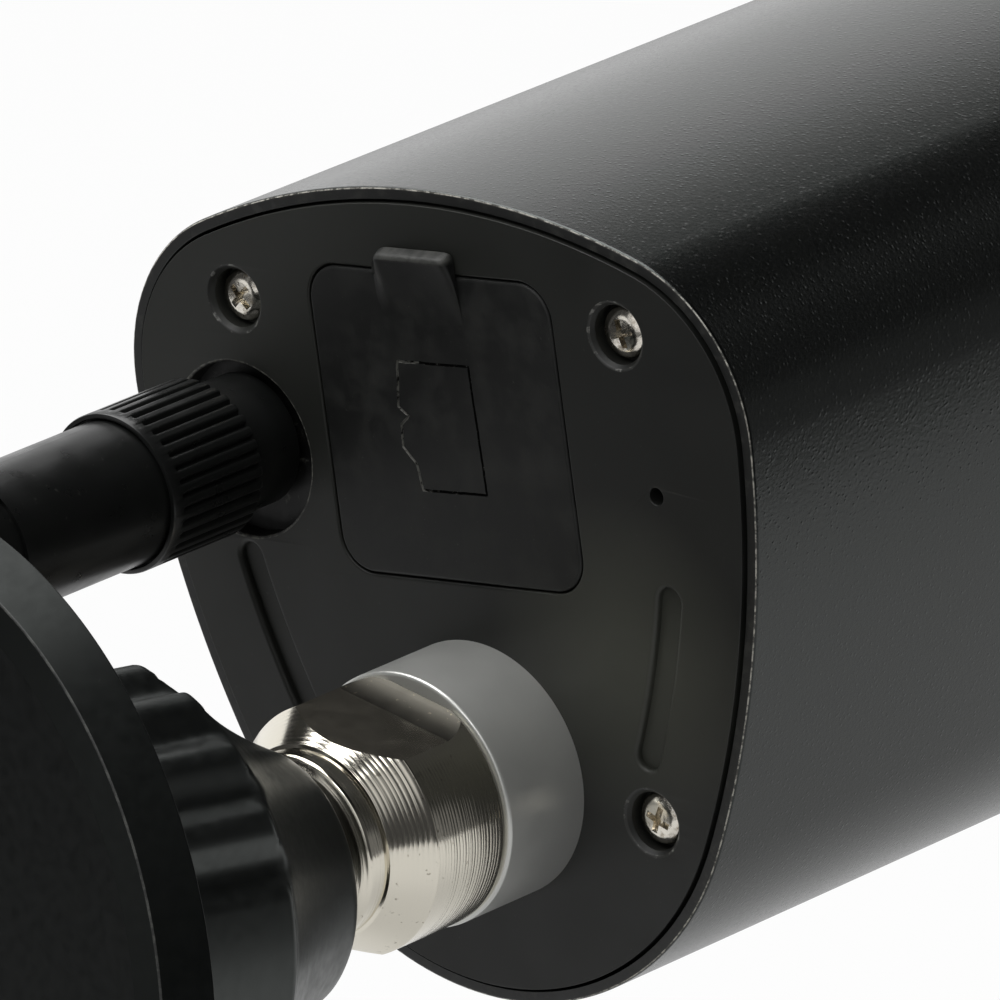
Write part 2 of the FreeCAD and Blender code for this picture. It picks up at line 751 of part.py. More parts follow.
def lock_ring():
    """Fluted locking ring: threaded bore, ball lip and tapering nose, turned about the bracket axis."""
    sphere_r = BALL_R + 0.25
    lip_at = math.sqrt(sphere_r ** 2 - LIP_R ** 2)
    half_way = math.atan2(lip_at, LIP_R) / 2
    seat_mid = V(sphere_r * math.cos(half_way), sphere_r * math.sin(half_way), 0)
    grip = [
        V(sphere_r, 0, 0),
        V(sphere_r, RING_SHOULDER, 0),
        V(RING_BORE_R, RING_SHOULDER, 0),
        V(RING_BORE_R, RING_REAR, 0),
        V(RING_R - 0.5, RING_REAR, 0),
        V(RING_R, RING_REAR + 0.5, 0),
        V(RING_R, GRIP_FRONT, 0),
        V(NOSE_START_R, GRIP_FRONT + 1.0, 0),
    ]
    tip = [
        V(NOSE_TIP_R + 0.3, NOSE_TIP - 0.5, 0),
        V(NOSE_TIP_R - 0.2, NOSE_TIP, 0),
        V(LIP_R + 0.1, NOSE_TIP, 0),
        V(LIP_R, lip_at, 0),
    ]
    nose = Part.Arc(grip[-1], V(NOSE_MID_R, NOSE_MID, 0), tip[0]).toShape()
    seat = Part.Arc(tip[-1], seat_mid, grip[0]).toShape()
    edges = Part.makePolygon(grip).Edges + Part.makePolygon(tip).Edges + [nose, seat]
    face = Part.Face(Part.Wire(Part.__sortEdges__(edges)))
    ring = face.revolve(V(0, 0, 0), V(0, 1, 0), 360)
    ring.translate(V(0, BALL_H, 0))
    return ring.cut(ring_flutes())


def ring_flutes():
    """Cutters of the grip: groups of round flutes with plain bands between the groups."""
    cutters = []
    away = RING_R - FLUTE_DEPTH + FLUTE_R
    first = -(FLUTES_PER_GROUP - 1) / 2
    for group in range(FLUTE_GROUPS):
        for k in range(FLUTES_PER_GROUP):
            deg = FLUTE_GROUP_DEG + group * 360 / FLUTE_GROUPS + (first + k) * FLUTE_PITCH_DEG
            x = away * math.cos(math.radians(deg))
            z = away * math.sin(math.radians(deg))
            cutters.append(cylinder(FLUTE_R, BALL_H + RING_REAR - 1, BALL_H + GRIP_FRONT + 1, x, z))
    return cutters


def ball_seat():
    """Friction cup under the ball."""
    floor = SOCKET_FLOOR + 0.1
    cup = cylinder(CUP_BORE_R - 0.06, BALL_H + floor, BALL_H + CUP_TOP - 0.2)
    ball = Part.makeSphere(BALL_R + 0.12, V(0, BALL_H, 0))
    return cup.cut([ball, cylinder(SEAT_BORE_R, BALL_H + floor, BALL_H)])


def wall_base():
    """Round wall base with a bevelled rear edge, hub and threaded cup for the ball."""
    cup_top = BALL_H + CUP_TOP
    floor = BALL_H + SOCKET_FLOOR
    profile = (
        (BASE_BORE_R, 0),
        (DISC_FACE_R, 0),
        (DISC_REAR_R, DISC_BEVEL),
        (DISC_R, DISC_RIM),
        (DISC_R - 0.7, DISC_RIM + 0.7),
        (HUB_R + 1.5, DISC_RIM + 2.5),
        (HUB_R, DISC_RIM + 4.0),
        (HUB_R, HUB_H - 0.8),
        (HUB_R - 0.8, HUB_H),
        (CUP_R, HUB_H),
        (CUP_R, cup_top),
        (CUP_BORE_R, cup_top),
        (CUP_BORE_R, floor),
        (BASE_BORE_R, floor),
    )
    base = turned(profile)
    sink = DISC_RIM - 1.2
    countersink = (
        (0, sink),
        (WALL_SCREW_R, sink),
        (WALL_SCREW_HEAD_R, sink + 2),
        (WALL_SCREW_HEAD_R, HUB_H),
        (0, HUB_H),
    )
    cuts = []
    for deg in WALL_SCREW_DEG:
        x = WALL_SCREW_PCD / 2 * math.cos(math.radians(deg))
        z = WALL_SCREW_PCD / 2 * math.sin(math.radians(deg))
        cuts.append(cylinder(WALL_SCREW_R, 0, HUB_H, x, z))
        cuts.append(turned(countersink, x, z))
    return base.cut(cuts)


def to_rest(shape):
    """Carry a piece from the camera frame to its place on the tilted ball."""
    shape = shape.copy()
    shape.translate(V(0, BALL_H - BALL_Y, -STEM_Z))
    a = math.radians(REST_TILT_AXIS_DEG)
    shape.rotate(V(0, BALL_H, 0), V(math.cos(a), 0, math.sin(a)), REST_TILT_DEG)
    return shape


CAMERA_PIECES = (
    housing, rear_plate, rear_gasket, plate_screws, sd_cover, sd_board, sd_socket, microphone,
    antenna_connector, connector_nut, connector_seal, antenna_collar, antenna_barrel, knuckle_pin,
    antenna_whip, stem_collar, stem, stem_nut, front_bezel, window_seal, front_window, chassis_tray,
    main_board, board_screws, heat_spreader, wifi_module, sensor_board, image_sensor, lens_holder,
    lens_barrel, lens_glass, ir_board, ir_leds, light_sensor,
)
BRACKET_PIECES = (lock_ring, ball_seat, wall_base)


def build():
    os.makedirs("parts", exist_ok=True)
    for piece in CAMERA_PIECES:
        to_rest(piece()).exportStep(f"parts/{piece.__name__}.step")
    for piece in BRACKET_PIECES:
        piece().exportStep(f"parts/{piece.__name__}.step")


build()
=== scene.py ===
"""Looks of a wireless bullet camera on a ball-joint wall bracket, seen from behind and the right."""
import json
import math

import bmesh
import bpy
from mathutils import Matrix, Vector, noise
from mathutils.geometry import tessellate_polygon


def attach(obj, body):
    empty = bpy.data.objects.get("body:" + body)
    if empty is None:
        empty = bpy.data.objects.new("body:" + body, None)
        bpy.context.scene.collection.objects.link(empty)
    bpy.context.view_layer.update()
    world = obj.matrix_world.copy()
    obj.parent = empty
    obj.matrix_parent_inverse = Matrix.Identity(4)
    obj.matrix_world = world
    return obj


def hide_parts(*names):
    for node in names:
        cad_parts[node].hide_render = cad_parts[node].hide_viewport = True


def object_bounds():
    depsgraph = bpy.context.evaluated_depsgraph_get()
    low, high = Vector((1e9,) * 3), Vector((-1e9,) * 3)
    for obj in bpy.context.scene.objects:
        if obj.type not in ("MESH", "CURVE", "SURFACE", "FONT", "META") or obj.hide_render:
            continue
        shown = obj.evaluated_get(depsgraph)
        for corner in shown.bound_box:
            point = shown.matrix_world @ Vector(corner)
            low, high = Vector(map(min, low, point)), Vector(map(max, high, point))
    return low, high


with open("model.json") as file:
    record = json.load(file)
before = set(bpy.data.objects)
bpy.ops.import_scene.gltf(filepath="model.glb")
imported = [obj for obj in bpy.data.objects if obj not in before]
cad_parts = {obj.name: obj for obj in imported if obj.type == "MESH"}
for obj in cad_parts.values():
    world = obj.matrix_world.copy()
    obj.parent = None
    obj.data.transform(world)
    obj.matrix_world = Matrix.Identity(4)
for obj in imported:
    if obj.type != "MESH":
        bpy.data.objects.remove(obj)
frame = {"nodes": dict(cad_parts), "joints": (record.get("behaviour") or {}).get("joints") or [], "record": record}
CAD_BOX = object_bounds()

# Frames, from the joints. Shapes are written in millimetres in one of the two.
# Camera frame: x right, y forward along the housing, z up, rear plate at y = 0.
# Bracket frame: y along the bracket away from the wall, ball centre at the origin.
MM = 0.001
BALL_Y = -38.0
STEM_Z = -15.0
JOINTS = {joint["name"]: joint for joint in frame["joints"]}
BALL = Vector(JOINTS["ball_tilt"]["pos_m"])
CAMERA_X = Vector(JOINTS["cover_hinge"]["axis"])
CAMERA_Y = Vector(JOINTS["camera_roll"]["axis"])
CAMERA_TURN = Matrix((CAMERA_X, CAMERA_Y, CAMERA_X.cross(CAMERA_Y))).transposed()
TO_BALL = Matrix.Translation((0, -BALL_Y, -STEM_Z))
CAMERA_FRAME = Matrix.Translation(BALL) @ CAMERA_TURN.to_4x4() @ Matrix.Scale(MM, 4) @ TO_BALL
BRACKET_FRAME = Matrix.Translation(BALL) @ Matrix.Scale(MM, 4)

# The photograph's view: angles in degrees, the rest in millimetres
VIEW_AZIMUTH = 49.907
VIEW_ELEVATION = 10.141
VIEW_ROLL = 2.385
VIEW_AIM = (1.855, 4.520, 7.609)
VIEW_DISTANCE = 1523.7
VIEW_LENS = 648.0
VIEW_SENSOR = 36.0

# Stage: the floor in metres, then how bright the floor and the room are.
# A window is a direction, with the cosines at which it begins and is full.
FLOOR_DROP = 0.03
FLOOR_CORNERS = ((-6.0, -0.13), (0.22, -0.13), (0.22, 6.0), (-6.0, 6.0))
FLOOR_SHOWN = 0.96
FLOOR_MIRRORED = 0.45
ROOM_LEVEL = 0.05
STRIP_LEVEL = 0.15
WINDOW_LEVEL = 0.8
WINDOWS = (((0.45, -0.85, 0.28), 0.80, 0.93), ((-0.33, -0.94, 0.0), 0.93, 0.98))

# Housing outline and rear rim
HOUSING_H = 72.0
HOUSING_W = 70.0
HOUSING_LEN = 150.0
R_TOP = 70.0
R_CORNER = 16.0
R_SIDE = 90.0
R_BOTTOM = 28.5
OUTLINE_STEPS = 28
WALL = 1.5
RIM_T = 1.1
RIM_Y = 0.35
RIM_LEN = 7.0
PLATE_GAP = 0.25
EDGE_ROUND = 0.3
PLATE_ROUND = 0.08

# Rear plate. The dish is the edge of a screw well, as steps inwards and down.
PLATE_T = 3.0
# centre of a painted glow: a pool of light painted on the plate beside the boss
PLATE_GLOW_CENTRE = (18.0, 0.0, -4.0)
SCREWS = ((21.6, 24.8), (-21.6, 24.8), (18.6, -18.1), (-18.6, -18.1))
SCREW_WELL_R = 2.9
SCREW_WELL_DEPTH = 2.0
SCREW_WELL_BEVEL = 0.22
SCREW_DISH = ((0, 0), (0.06, 0.01), (0.14, 0.06), (0.24, 0.16), (0.5, 0.48))
SCREW_HEAD_R = 2.3
SCREW_SHANK_R = 1.2
SCREW_TURNS = (12, 40, 64, 20)
GROOVE_INSET = 9.2
GROOVE_W = 2.4
GROOVE_DEPTH = 0.7
GROOVE_ROUND = 0.45
GROOVE_DEG = (-13.2, -23.7)
MIC_POS = (23.9, 11.0)
MIC_HOLE_R = 0.75
MIC_ROUND = 0.15

# Card cover. A tab station is a place across it and its share of the full rise.
COVER_X = (-12.9, 14.6)
COVER_Z = (1.4, 28.8)
COVER_CORNER_R = 3.4
COVER_GAP = 0.14
COVER_T = 1.7
COVER_ROUND = 0.3
RECESS_DEPTH = 1.9
RECESS_ROUND = 0.22
CARD_SLOT = (-5.2, 6.2, 14.2, 15.8)
TAB_TOP = 30.9
TAB_LEN = 7.5
TAB_RISE = 1.6
TAB_ROOT = 0.4
TAB_SINK = 0.03
TAB_LAP = 0.15
TAB_STATIONS = (
    (-5.0, 0.02), (-4.7, 0.10), (-4.4, 0.26), (-4.1, 0.47), (-3.8, 0.68), (-3.5, 0.84), (-3.2, 0.94),
    (-2.8, 1.0), (0.0, 1.0), (3.3, 1.0), (3.65, 0.985), (3.95, 0.945), (4.2, 0.87), (4.38, 0.76),
    (4.48, 0.6), (4.5, 0.45),
)
ICON_LINE = 0.25
ICON_DEPTH = 0.3
ICON_SHAKE = 0.06
ICON_STEP = 0.3
ICON_CORNERS = (
    (-3.6, 20.7), (4.45, 20.8), (4.7, 9.55), (-2.55, 9.4), (-2.9, 11.7), (-4.25, 13.1), (-4.05, 15.1),
    (-3.1, 15.9), (-4.15, 16.65),
)

# Antenna
ANTENNA = (-23.0, 12.1)
ANTENNA_WELL = (-23.0, 11.4)
WELL_R = 7.75
WELL_DEPTH = 2.0
WELL_ROUND = 0.25
COLLAR_R = 7.1
COLLAR_MOUTH = -16.5
COLLAR_END = 1.0
COLLAR_LIP = 1.3
RIBS_END = -5.0
COLLAR_NECK_R = 5.9
NUT_ROOM_R = 4.9
NUT_ROOM_Y = -1.4
PLUG_BORE_R = 5.75
PLUG_BORE_FROM = 0.8
PLUG_BORE_TO = 3.2
STUD_BORE_R = 3.35
RIB_COUNT = 36
RIB_STEPS = 10
RIB_DEPTH = 0.42
BARREL_R = 6.45
BARREL_CLEAR = 0.15

# Stem. The neck's run is radius, y from the ball centre and rounding.
BOSS_R = 11.35
BOSS_END = -9.65
BOSS_GAP = 0.1
BOSS_ROUND = 0.35
STEM_R = 11.1
STEM_BEVEL = 0.45
STEM_SHOULDER = -18.2
CONE_END = -21.7
CONE_END_R = 8.6
NECK_R = 8.35
NECK_END = -23.6
NECK_GROOVE = 0.07
WAIST_R = 5.6
NECK_RUN = ((WAIST_R, 11.2, 0), (5.95, 11.95, 0.2), (6.5, 12.95, 0.3))
BALL_R = 12.5
FLAT_HALF = 9.25
FLAT_TURN = 17.3
FLAT_RUNOUT = -13.2
FLAT_REACH = 14.0
CUTTER_R = 8.0
RUNOUT_DEG = 60
RUNOUT_STEPS = 24
SPIGOT_R = 8.0
SPIGOT_END = 11.0
CABLE_BORE_R = 3.5

# Bracket: y from the ball centre, and heights of disc and hub from the wall
WALL_Y = -33.5
DISC_R = 39.2
DISC_REAR_R = 37.0
DISC_FACE_R = 34.5
DISC_BEVEL = 0.7
DISC_RIM = 4.5
DISC_SLOPE = 1.2
HUB_R = 23.5
HUB_H = 11.0
CUP_R = 16.7
CUP_BORE_R = 15.3
CUP_TOP = -4.0
SOCKET_FLOOR = -15.3
BASE_BORE_R = 6.0
WALL_SCREW_PCD = 60.0
WALL_SCREW_R = 2.25
WALL_SCREW_HEAD_R = 4.3
WALL_SCREW_DEG = (100.0, 220.0, 340.0)
RING_R = 21.2
RING_BORE_R = 17.0
RING_REAR = -22.0
RING_STEPS = 720
GRIP_FRONT = -5.3
RING_SHOULDER = -3.6
NOSE_START_R = 20.0
NOSE_MID = 2.4
NOSE_MID_R = 15.0
NOSE_TIP = 9.8
NOSE_TIP_R = 11.0
LIP_R = 10.4
BALL_CLEAR = 0.25
FLUTE_DEPTH = 1.7
FLUTE_EASE = 0.4
FLUTE_PITCH = 18.75
FLUTES = 5
FLUTE_GROUPS = 3
FLUTE_GROUP_DEG = 55.5


# Shapes: points, loops and rings

def polar(centre, r, deg):
    a = math.radians(deg)
    return (centre[0] + r * math.cos(a), centre[1] + r * math.sin(a))


def arc(centre, r, deg0, deg1, steps):
    """Points from deg0 up to, but without, deg1."""
    return [polar(centre, r, deg0 + (deg1 - deg0) * k / steps) for k in range(steps)]


def circle(centre, r, steps):
    return arc(centre, r, 0, 360, steps)


def direction_deg(start, end):
    return math.degrees(math.atan2(end[1] - start[1], end[0] - start[0]))


def rounded(corners, closed=False, steps=6):
    """Polyline from (u, v, radius) corners, each corner with a radius turned into an arc."""
    points = []
    count = len(corners)
    for k, (u, v, r) in enumerate(corners):
        at_end = not closed and k in (0, count - 1)
        if at_end or r == 0:
            points.append((u, v))
            continue
        corner = Vector((u, v))
        before = (Vector(corners[k - 1][:2]) - corner).normalized()
        after = (Vector(corners[(k + 1) % count][:2]) - corner).normalized()
        half = before.angle(after) / 2
        centre = corner + (before + after).normalized() * (r / math.sin(half))
        start = corner + before * (r / math.tan(half)) - centre
        turn = start.angle_signed(corner + after * (r / math.tan(half)) - centre)
        for step in range(steps + 1):
            points.append(tuple(centre + Matrix.Rotation(-turn * step / steps, 2) @ start))
    return points


def arc_through(start, middle, end, steps):
    """Points of the arc through three points, both ends included."""
    a, b, c = Vector(start), Vector(middle), Vector(end)
    a2, b2, c2 = a.length_squared, b.length_squared, c.length_squared
    turn = 2 * (a.x * (b.y - c.y) + b.x * (c.y - a.y) + c.x * (a.y - b.y))
    u = (a2 * (b.y - c.y) + b2 * (c.y - a.y) + c2 * (a.y - b.y)) / turn
    v = (a2 * (c.x - b.x) + b2 * (a.x - c.x) + c2 * (b.x - a.x)) / turn
    first = direction_deg((u, v), start)
    sweep = (direction_deg((u, v), end) - first + 180) % 360 - 180
    r = math.dist((u, v), start)
    return [polar((u, v), r, first + sweep * k / steps) for k in range(steps + 1)]


def rounded_box(x, z, r, steps=10):
    corners = ((x[0], z[0], r), (x[1], z[0], r), (x[1], z[1], r), (x[0], z[1], r))
    return rounded(corners, True, steps)


def offset(loop, distance):
    """A closed loop moved outwards by distance, or inwards if that is negative."""
    count = len(loop)
    area = sum(loop[k - 1][0] * loop[k][1] - loop[k][0] * loop[k - 1][1] for k in range(count))
    side = distance if area > 0 else -distance
    moved = []
    for k in range(count):
        ahead = Vector(loop[(k + 1) % count])
        along = (ahead - Vector(loop[k - 1])).normalized()
        moved.append((loop[k][0] + side * along.y, loop[k][1] - side * along.x))
    return moved


def ring(loop, y):
    return [Vector((x, y, z)) for x, z in loop]


def edge_rings(loop, r, hole, steps=4):
    """Rings of a rounded edge, from the flat face at y = 0 to the loop's own wall."""
    grow = r if hole else -r
    rings = []
    for k in range(steps + 1):
        a = math.pi / 2 * k / steps
        rings.append(ring(offset(loop, grow * (1 - math.sin(a))), r * (1 - math.cos(a))))
    return rings


class Form:
    """Faces gathered in millimetres, then made into one mesh in the row frame."""

    def __init__(self):
        self.points = []
        self.faces = []
        self.finish = 0

    def face(self, corners):
        """A face in the finish that is in use, the first of the piece unless it was changed."""
        self.faces.append((tuple(corners), self.finish))

    def keep(self, points):
        first = len(self.points)
        self.points += points
        return first

    def band(self, rings, closed=False):
        """Quads between rings of equal length; closed joins the last ring to the first."""
        count = len(rings[0])
        first = self.keep([point for one in rings for point in one])
        rows = len(rings) if closed else len(rings) - 1
        for row in range(rows):
            low = first + row * count
            high = first + (row + 1) % len(rings) * count
            for k in range(count):
                after = (k + 1) % count
                self.face((low + k, low + after, high + after, high + k))

    def cap(self, points):
        first = self.keep(points)
        self.face(range(first, first + len(points)))

    def prism(self, rings):
        """A band with both its ends closed."""
        self.band(rings)
        self.cap(rings[0])
        self.cap(rings[-1])

    def flat(self, loops, y):
        """Flat face between an outer loop and its holes."""
        first = self.keep([point for loop in loops for point in ring(loop, y)])
        flat_loops = [[Vector((x, z, 0)) for x, z in loop] for loop in loops]
        for triangle in tessellate_polygon(flat_loops):
            self.face(first + k for k in triangle)

    def lathe(self, profile, centre, segments, closed=False):
        """Profile of (radius, y) points turned about an axis along y."""
        rings = [ring(circle(centre, r, segments), y) for r, y in profile]
        self.band(rings, closed)

    def mesh(self, name, place):
        work = bmesh.new()
        kept = [work.verts.new(point) for point in self.points]
        for corners, finish in self.faces:
            work.faces.new([kept[k] for k in corners]).material_index = finish
        bmesh.ops.remove_doubles(work, verts=work.verts, dist=0.0005)
        bmesh.ops.dissolve_degenerate(work, edges=work.edges, dist=0.0002)
        bmesh.ops.recalc_face_normals(work, faces=work.faces)
        made = bpy.data.meshes.new(name)
        work.to_mesh(made)
        work.free()
        made.transform(place)
        return made


def add_object(name, mesh):
    made = bpy.data.objects.new(name, mesh)
    bpy.context.scene.collection.objects.link(made)
    return made


def dress(obj, body, nodes, looks, sharp_deg=32.0):
    """Give a piece its finishes and shading, and put it in the place of its CAD nodes."""
    mesh = obj.data
    mesh.shade_smooth()
    mesh.set_sharp_from_angle(angle=math.radians(sharp_deg))
    for look in looks:
        mesh.materials.append(look)
    weighted = obj.modifiers.new("even_normals", "WEIGHTED_NORMAL")
    weighted.keep_sharp = True
    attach(obj, body)
    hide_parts(*nodes)


def cut(obj, cutter):
    """Take one object's form out of another and drop the cutter."""
    tool = obj.modifiers.new("cut", "BOOLEAN")
    tool.operation = "DIFFERENCE"
    tool.solver = "EXACT"
    tool.object = cutter
    shown = obj.evaluated_get(bpy.context.evaluated_depsgraph_get())
    mesh = bpy.data.meshes.new_from_object(shown)
    obj.modifiers.remove(tool)
    obj.data = mesh
    bpy.data.objects.remove(cutter)


# Materials: small helpers, then one function for each finish.
# Noise scales are per millimetre, bump distances and places in millimetres, colours linear.

COAT_TINT = (0.93, 1.0, 0.96, 1)


def add(tree, kind, inputs=None, **settings):
    """A node with its settings and inputs; an input given as a socket is linked."""
    made = tree.nodes.new(kind)
    for key, value in settings.items():
        setattr(made, key, value)
    for key, value in (inputs or {}).items():
        if isinstance(value, bpy.types.NodeSocket):
            tree.links.new(value, made.inputs[key])
        else:
            made.inputs[key].default_value = value
    return made


def maths(tree, operation, a, b=0.0):
    return add(tree, "ShaderNodeMath", {0: a, 1: b}, operation=operation).outputs[0]


def vector_value(tree, operation, a, b):
    """The number that a vector operation gives, such as a distance."""
    return add(tree, "ShaderNodeVectorMath", {0: a, 1: b}, operation=operation).outputs["Value"]


def split_xyz(tree, vector):
    return add(tree, "ShaderNodeSeparateXYZ", {0: vector}).outputs


def lengthwise(tree, where):
    """The place along the housing's axis alone, for turned lines."""
    return add(tree, "ShaderNodeCombineXYZ", {"X": split_xyz(tree, where)["Y"]}).outputs[0]


def local_mm(tree, place):
    """The point on the surface in millimetres, in the camera or bracket frame."""
    back = place.inverted()
    inputs = {
        "Vector": add(tree, "ShaderNodeTexCoord").outputs["Object"],
        "Location": back.translation,
        "Rotation": back.to_euler(),
        "Scale": back.to_scale(),
    }
    return add(tree, "ShaderNodeMapping", inputs, vector_type="POINT").outputs[0]


def grain(tree, where, scale, detail=3.0, roughness=0.55):
    inputs = {"Vector": where, "Scale": scale, "Detail": detail, "Roughness": roughness}
    return add(tree, "ShaderNodeTexNoise", inputs).outputs["Fac"]


def ramp(tree, value, low, high, to_low=0.0, to_high=1.0):
    """A value mapped from low..high to new ends, held at both."""
    inputs = {"Value": value, "From Min": low, "From Max": high, "To Min": to_low, "To Max": to_high}
    return add(tree, "ShaderNodeMapRange", inputs).outputs[0]


def blend(tree, share, first, second):
    made = tree.nodes.new("ShaderNodeMix")
    made.data_type = "RGBA"
    tree.links.new(share, made.inputs["Factor"])
    for key, colour in ((6, first), (7, second)):
        if isinstance(colour, bpy.types.NodeSocket):
            tree.links.new(colour, made.inputs[key])
        else:
            made.inputs[key].default_value = (*colour, 1)
    return made.outputs[2]


def bumped(tree, height, strength, distance_mm):
    inputs = {"Height": height, "Strength": strength, "Distance": distance_mm * MM}
    return add(tree, "ShaderNodeBump", inputs).outputs[0]


def new_finish(name, **constants):
    """A material with a plain shader; constants are set on the shader's own sockets."""
    made = bpy.data.materials.new(name)
    made.use_nodes = True
    tree = made.node_tree
    shader = tree.nodes["Principled BSDF"]
    for key, value in constants.items():
        shader.inputs[key.replace("_", " ")].default_value = value
    return made, tree, shader


def join(tree, shader, **sockets):
    for key, socket in sockets.items():
        tree.links.new(socket, shader.inputs[key.replace("_", " ")])


def coat_finish():
    """Fine powder coat with small pimples."""
    made, tree, shader = new_finish("housing_coat", Specular_IOR_Level=0.6, Specular_Tint=COAT_TINT)
    where = local_mm(tree, CAMERA_FRAME)
    fine = grain(tree, where, 2.8, 4.0, 0.6)
    broad = grain(tree, where, 0.12, 3.0)
    pimples = add(tree, "ShaderNodeTexVoronoi", {"Vector": where, "Scale": 1.7}).outputs["Distance"]
    raised = ramp(tree, pimples, 0.05, 0.3, 1.0, 0.0)
    height = maths(tree, "ADD", fine, maths(tree, "MULTIPLY", raised, 0.7))
    join(
        tree, shader,
        Base_Color=blend(tree, broad, (0.0012, 0.0014, 0.0013), (0.0022, 0.0026, 0.0023)),
        Roughness=ramp(tree, fine, 0.2, 0.8, 0.18, 0.26),
        Normal=bumped(tree, height, 0.38, 0.05),
    )
    return made


def worn_finish(name, dark, pale, scale, threshold, place=CAMERA_FRAME):
    """A dark surface, rubbed pale in dots where the noise is over the threshold."""
    made, tree, shader = new_finish(name)
    where = local_mm(tree, place)
    dots = grain(tree, where, scale, 4.0, 0.65)
    bare = ramp(tree, dots, threshold - 0.07, threshold + 0.07)
    join(
        tree, shader,
        Base_Color=blend(tree, bare, dark, pale),
        Roughness=ramp(tree, dots, 0.3, 0.7, 0.42, 0.58),
    )
    return made


def plate_finish():
    """Moulded matte plastic with a faint grain and dust, and painted light: paler towards the upper left, with a
    painted glow beside the boss.
    """
    made, tree, shader = new_finish("plate_plastic", Specular_IOR_Level=0.4)
    where = local_mm(tree, CAMERA_FRAME)
    fine = grain(tree, where, 6.0, 2.0)
    smear = grain(tree, where, 0.10, 4.0, 0.6)
    dust = ramp(tree, grain(tree, where, 2.2, 2.0), 0.70, 0.74, 0.0, 0.35)
    split = split_xyz(tree, where)
    # painted light: the plate is painted paler towards the upper left
    painted_light_upper_left = ramp(tree, maths(tree, "SUBTRACT", split["Z"], split["X"]), -5.0, 45.0, 0.0, 0.8)
    # painted glow: paler colour beside the boss stands in for light falling on the plate there
    painted_glow = ramp(tree, vector_value(tree, "DISTANCE", where, PLATE_GLOW_CENTRE), 3.0, 15.0, 0.9, 0.0)
    dark = blend(tree, smear, (0.006, 0.0065, 0.0058), (0.0102, 0.0109, 0.0094))
    dark = blend(tree, painted_light_upper_left, dark, (0.022, 0.0233, 0.020))
    dark = blend(tree, painted_glow, dark, (0.054, 0.056, 0.045))
    join(
        tree, shader,
        Base_Color=blend(tree, dust, dark, (0.045, 0.045, 0.040)),
        Roughness=ramp(tree, smear, 0.3, 0.7, 0.42, 0.56),
        Normal=bumped(tree, fine, 0.25, 0.02),
    )
    return made


def rubber_finish():
    """Matte rubber with pale smudges, paler along the top and left of its tab."""
    made, tree, shader = new_finish("cover_rubber", Specular_IOR_Level=0.4)
    where = local_mm(tree, CAMERA_FRAME)
    smudge = ramp(tree, grain(tree, where, 0.22, 5.0, 0.65), 0.46, 0.72)
    specks = ramp(tree, grain(tree, where, 2.6, 3.0), 0.68, 0.73, 0.0, 0.5)
    split = split_xyz(tree, where)
    brow = ramp(tree, split["Z"], TAB_TOP - 1.0, TAB_TOP - 0.6)
    left = ramp(tree, split["X"], -3.2, -4.2)
    high = ramp(tree, split["Y"], -0.1, -0.4)
    on_tab = maths(tree, "MULTIPLY", maths(tree, "MAXIMUM", brow, left), high)
    tab_paler = maths(tree, "MULTIPLY", on_tab, ramp(tree, grain(tree, where, 1.1, 4.0), 0.35, 0.6, 0.25, 1.0))
    pale = maths(tree, "MAXIMUM", maths(tree, "MULTIPLY", smudge, 0.3), maths(tree, "MAXIMUM", specks, tab_paler))
    join(
        tree, shader,
        Base_Color=blend(tree, pale, (0.0055, 0.006, 0.0056), (0.055, 0.056, 0.051)),
        Roughness=ramp(tree, smudge, 0.0, 1.0, 0.50, 0.68),
        Normal=bumped(tree, grain(tree, where, 4.0, 3.0), 0.3, 0.03),
    )
    return made


def line_highlight_finish():
    """The engraved line of the cover: black, with a painted highlight in its left part, broken up by noise."""
    made, tree, shader = new_finish("cover_line_painted_highlight", Roughness=0.8, Specular_IOR_Level=0.15)
    where = local_mm(tree, CAMERA_FRAME)
    # painted highlight: the line is painted pale in flecks towards its left part
    leftward = ramp(tree, split_xyz(tree, where)["X"], 0.0, -3.2, -0.08, 0.10)
    painted_highlight = ramp(tree, maths(tree, "ADD", grain(tree, where, 1.3, 5.0, 0.7), leftward), 0.50, 0.60)
    join(tree, shader, Base_Color=blend(tree, painted_highlight, (0.003, 0.003, 0.0028), (0.26, 0.26, 0.24)))
    return made


def antenna_finish():
    """Semi-gloss black plastic with a little dust."""
    made, tree, shader = new_finish("antenna_plastic", Specular_IOR_Level=0.45)
    where = local_mm(tree, CAMERA_FRAME)
    dust = ramp(tree, grain(tree, where, 1.8, 4.0, 0.6), 0.66, 0.72, 0.0, 0.5)
    smear = grain(tree, where, 0.35, 3.0)
    join(
        tree, shader,
        Base_Color=blend(tree, dust, (0.009, 0.0096, 0.0092), (0.05, 0.05, 0.045)),
        Roughness=ramp(tree, smear, 0.3, 0.7, 0.26, 0.38),
        Normal=bumped(tree, grain(tree, where, 1.5, 3.0), 0.12, 0.03),
    )
    return made


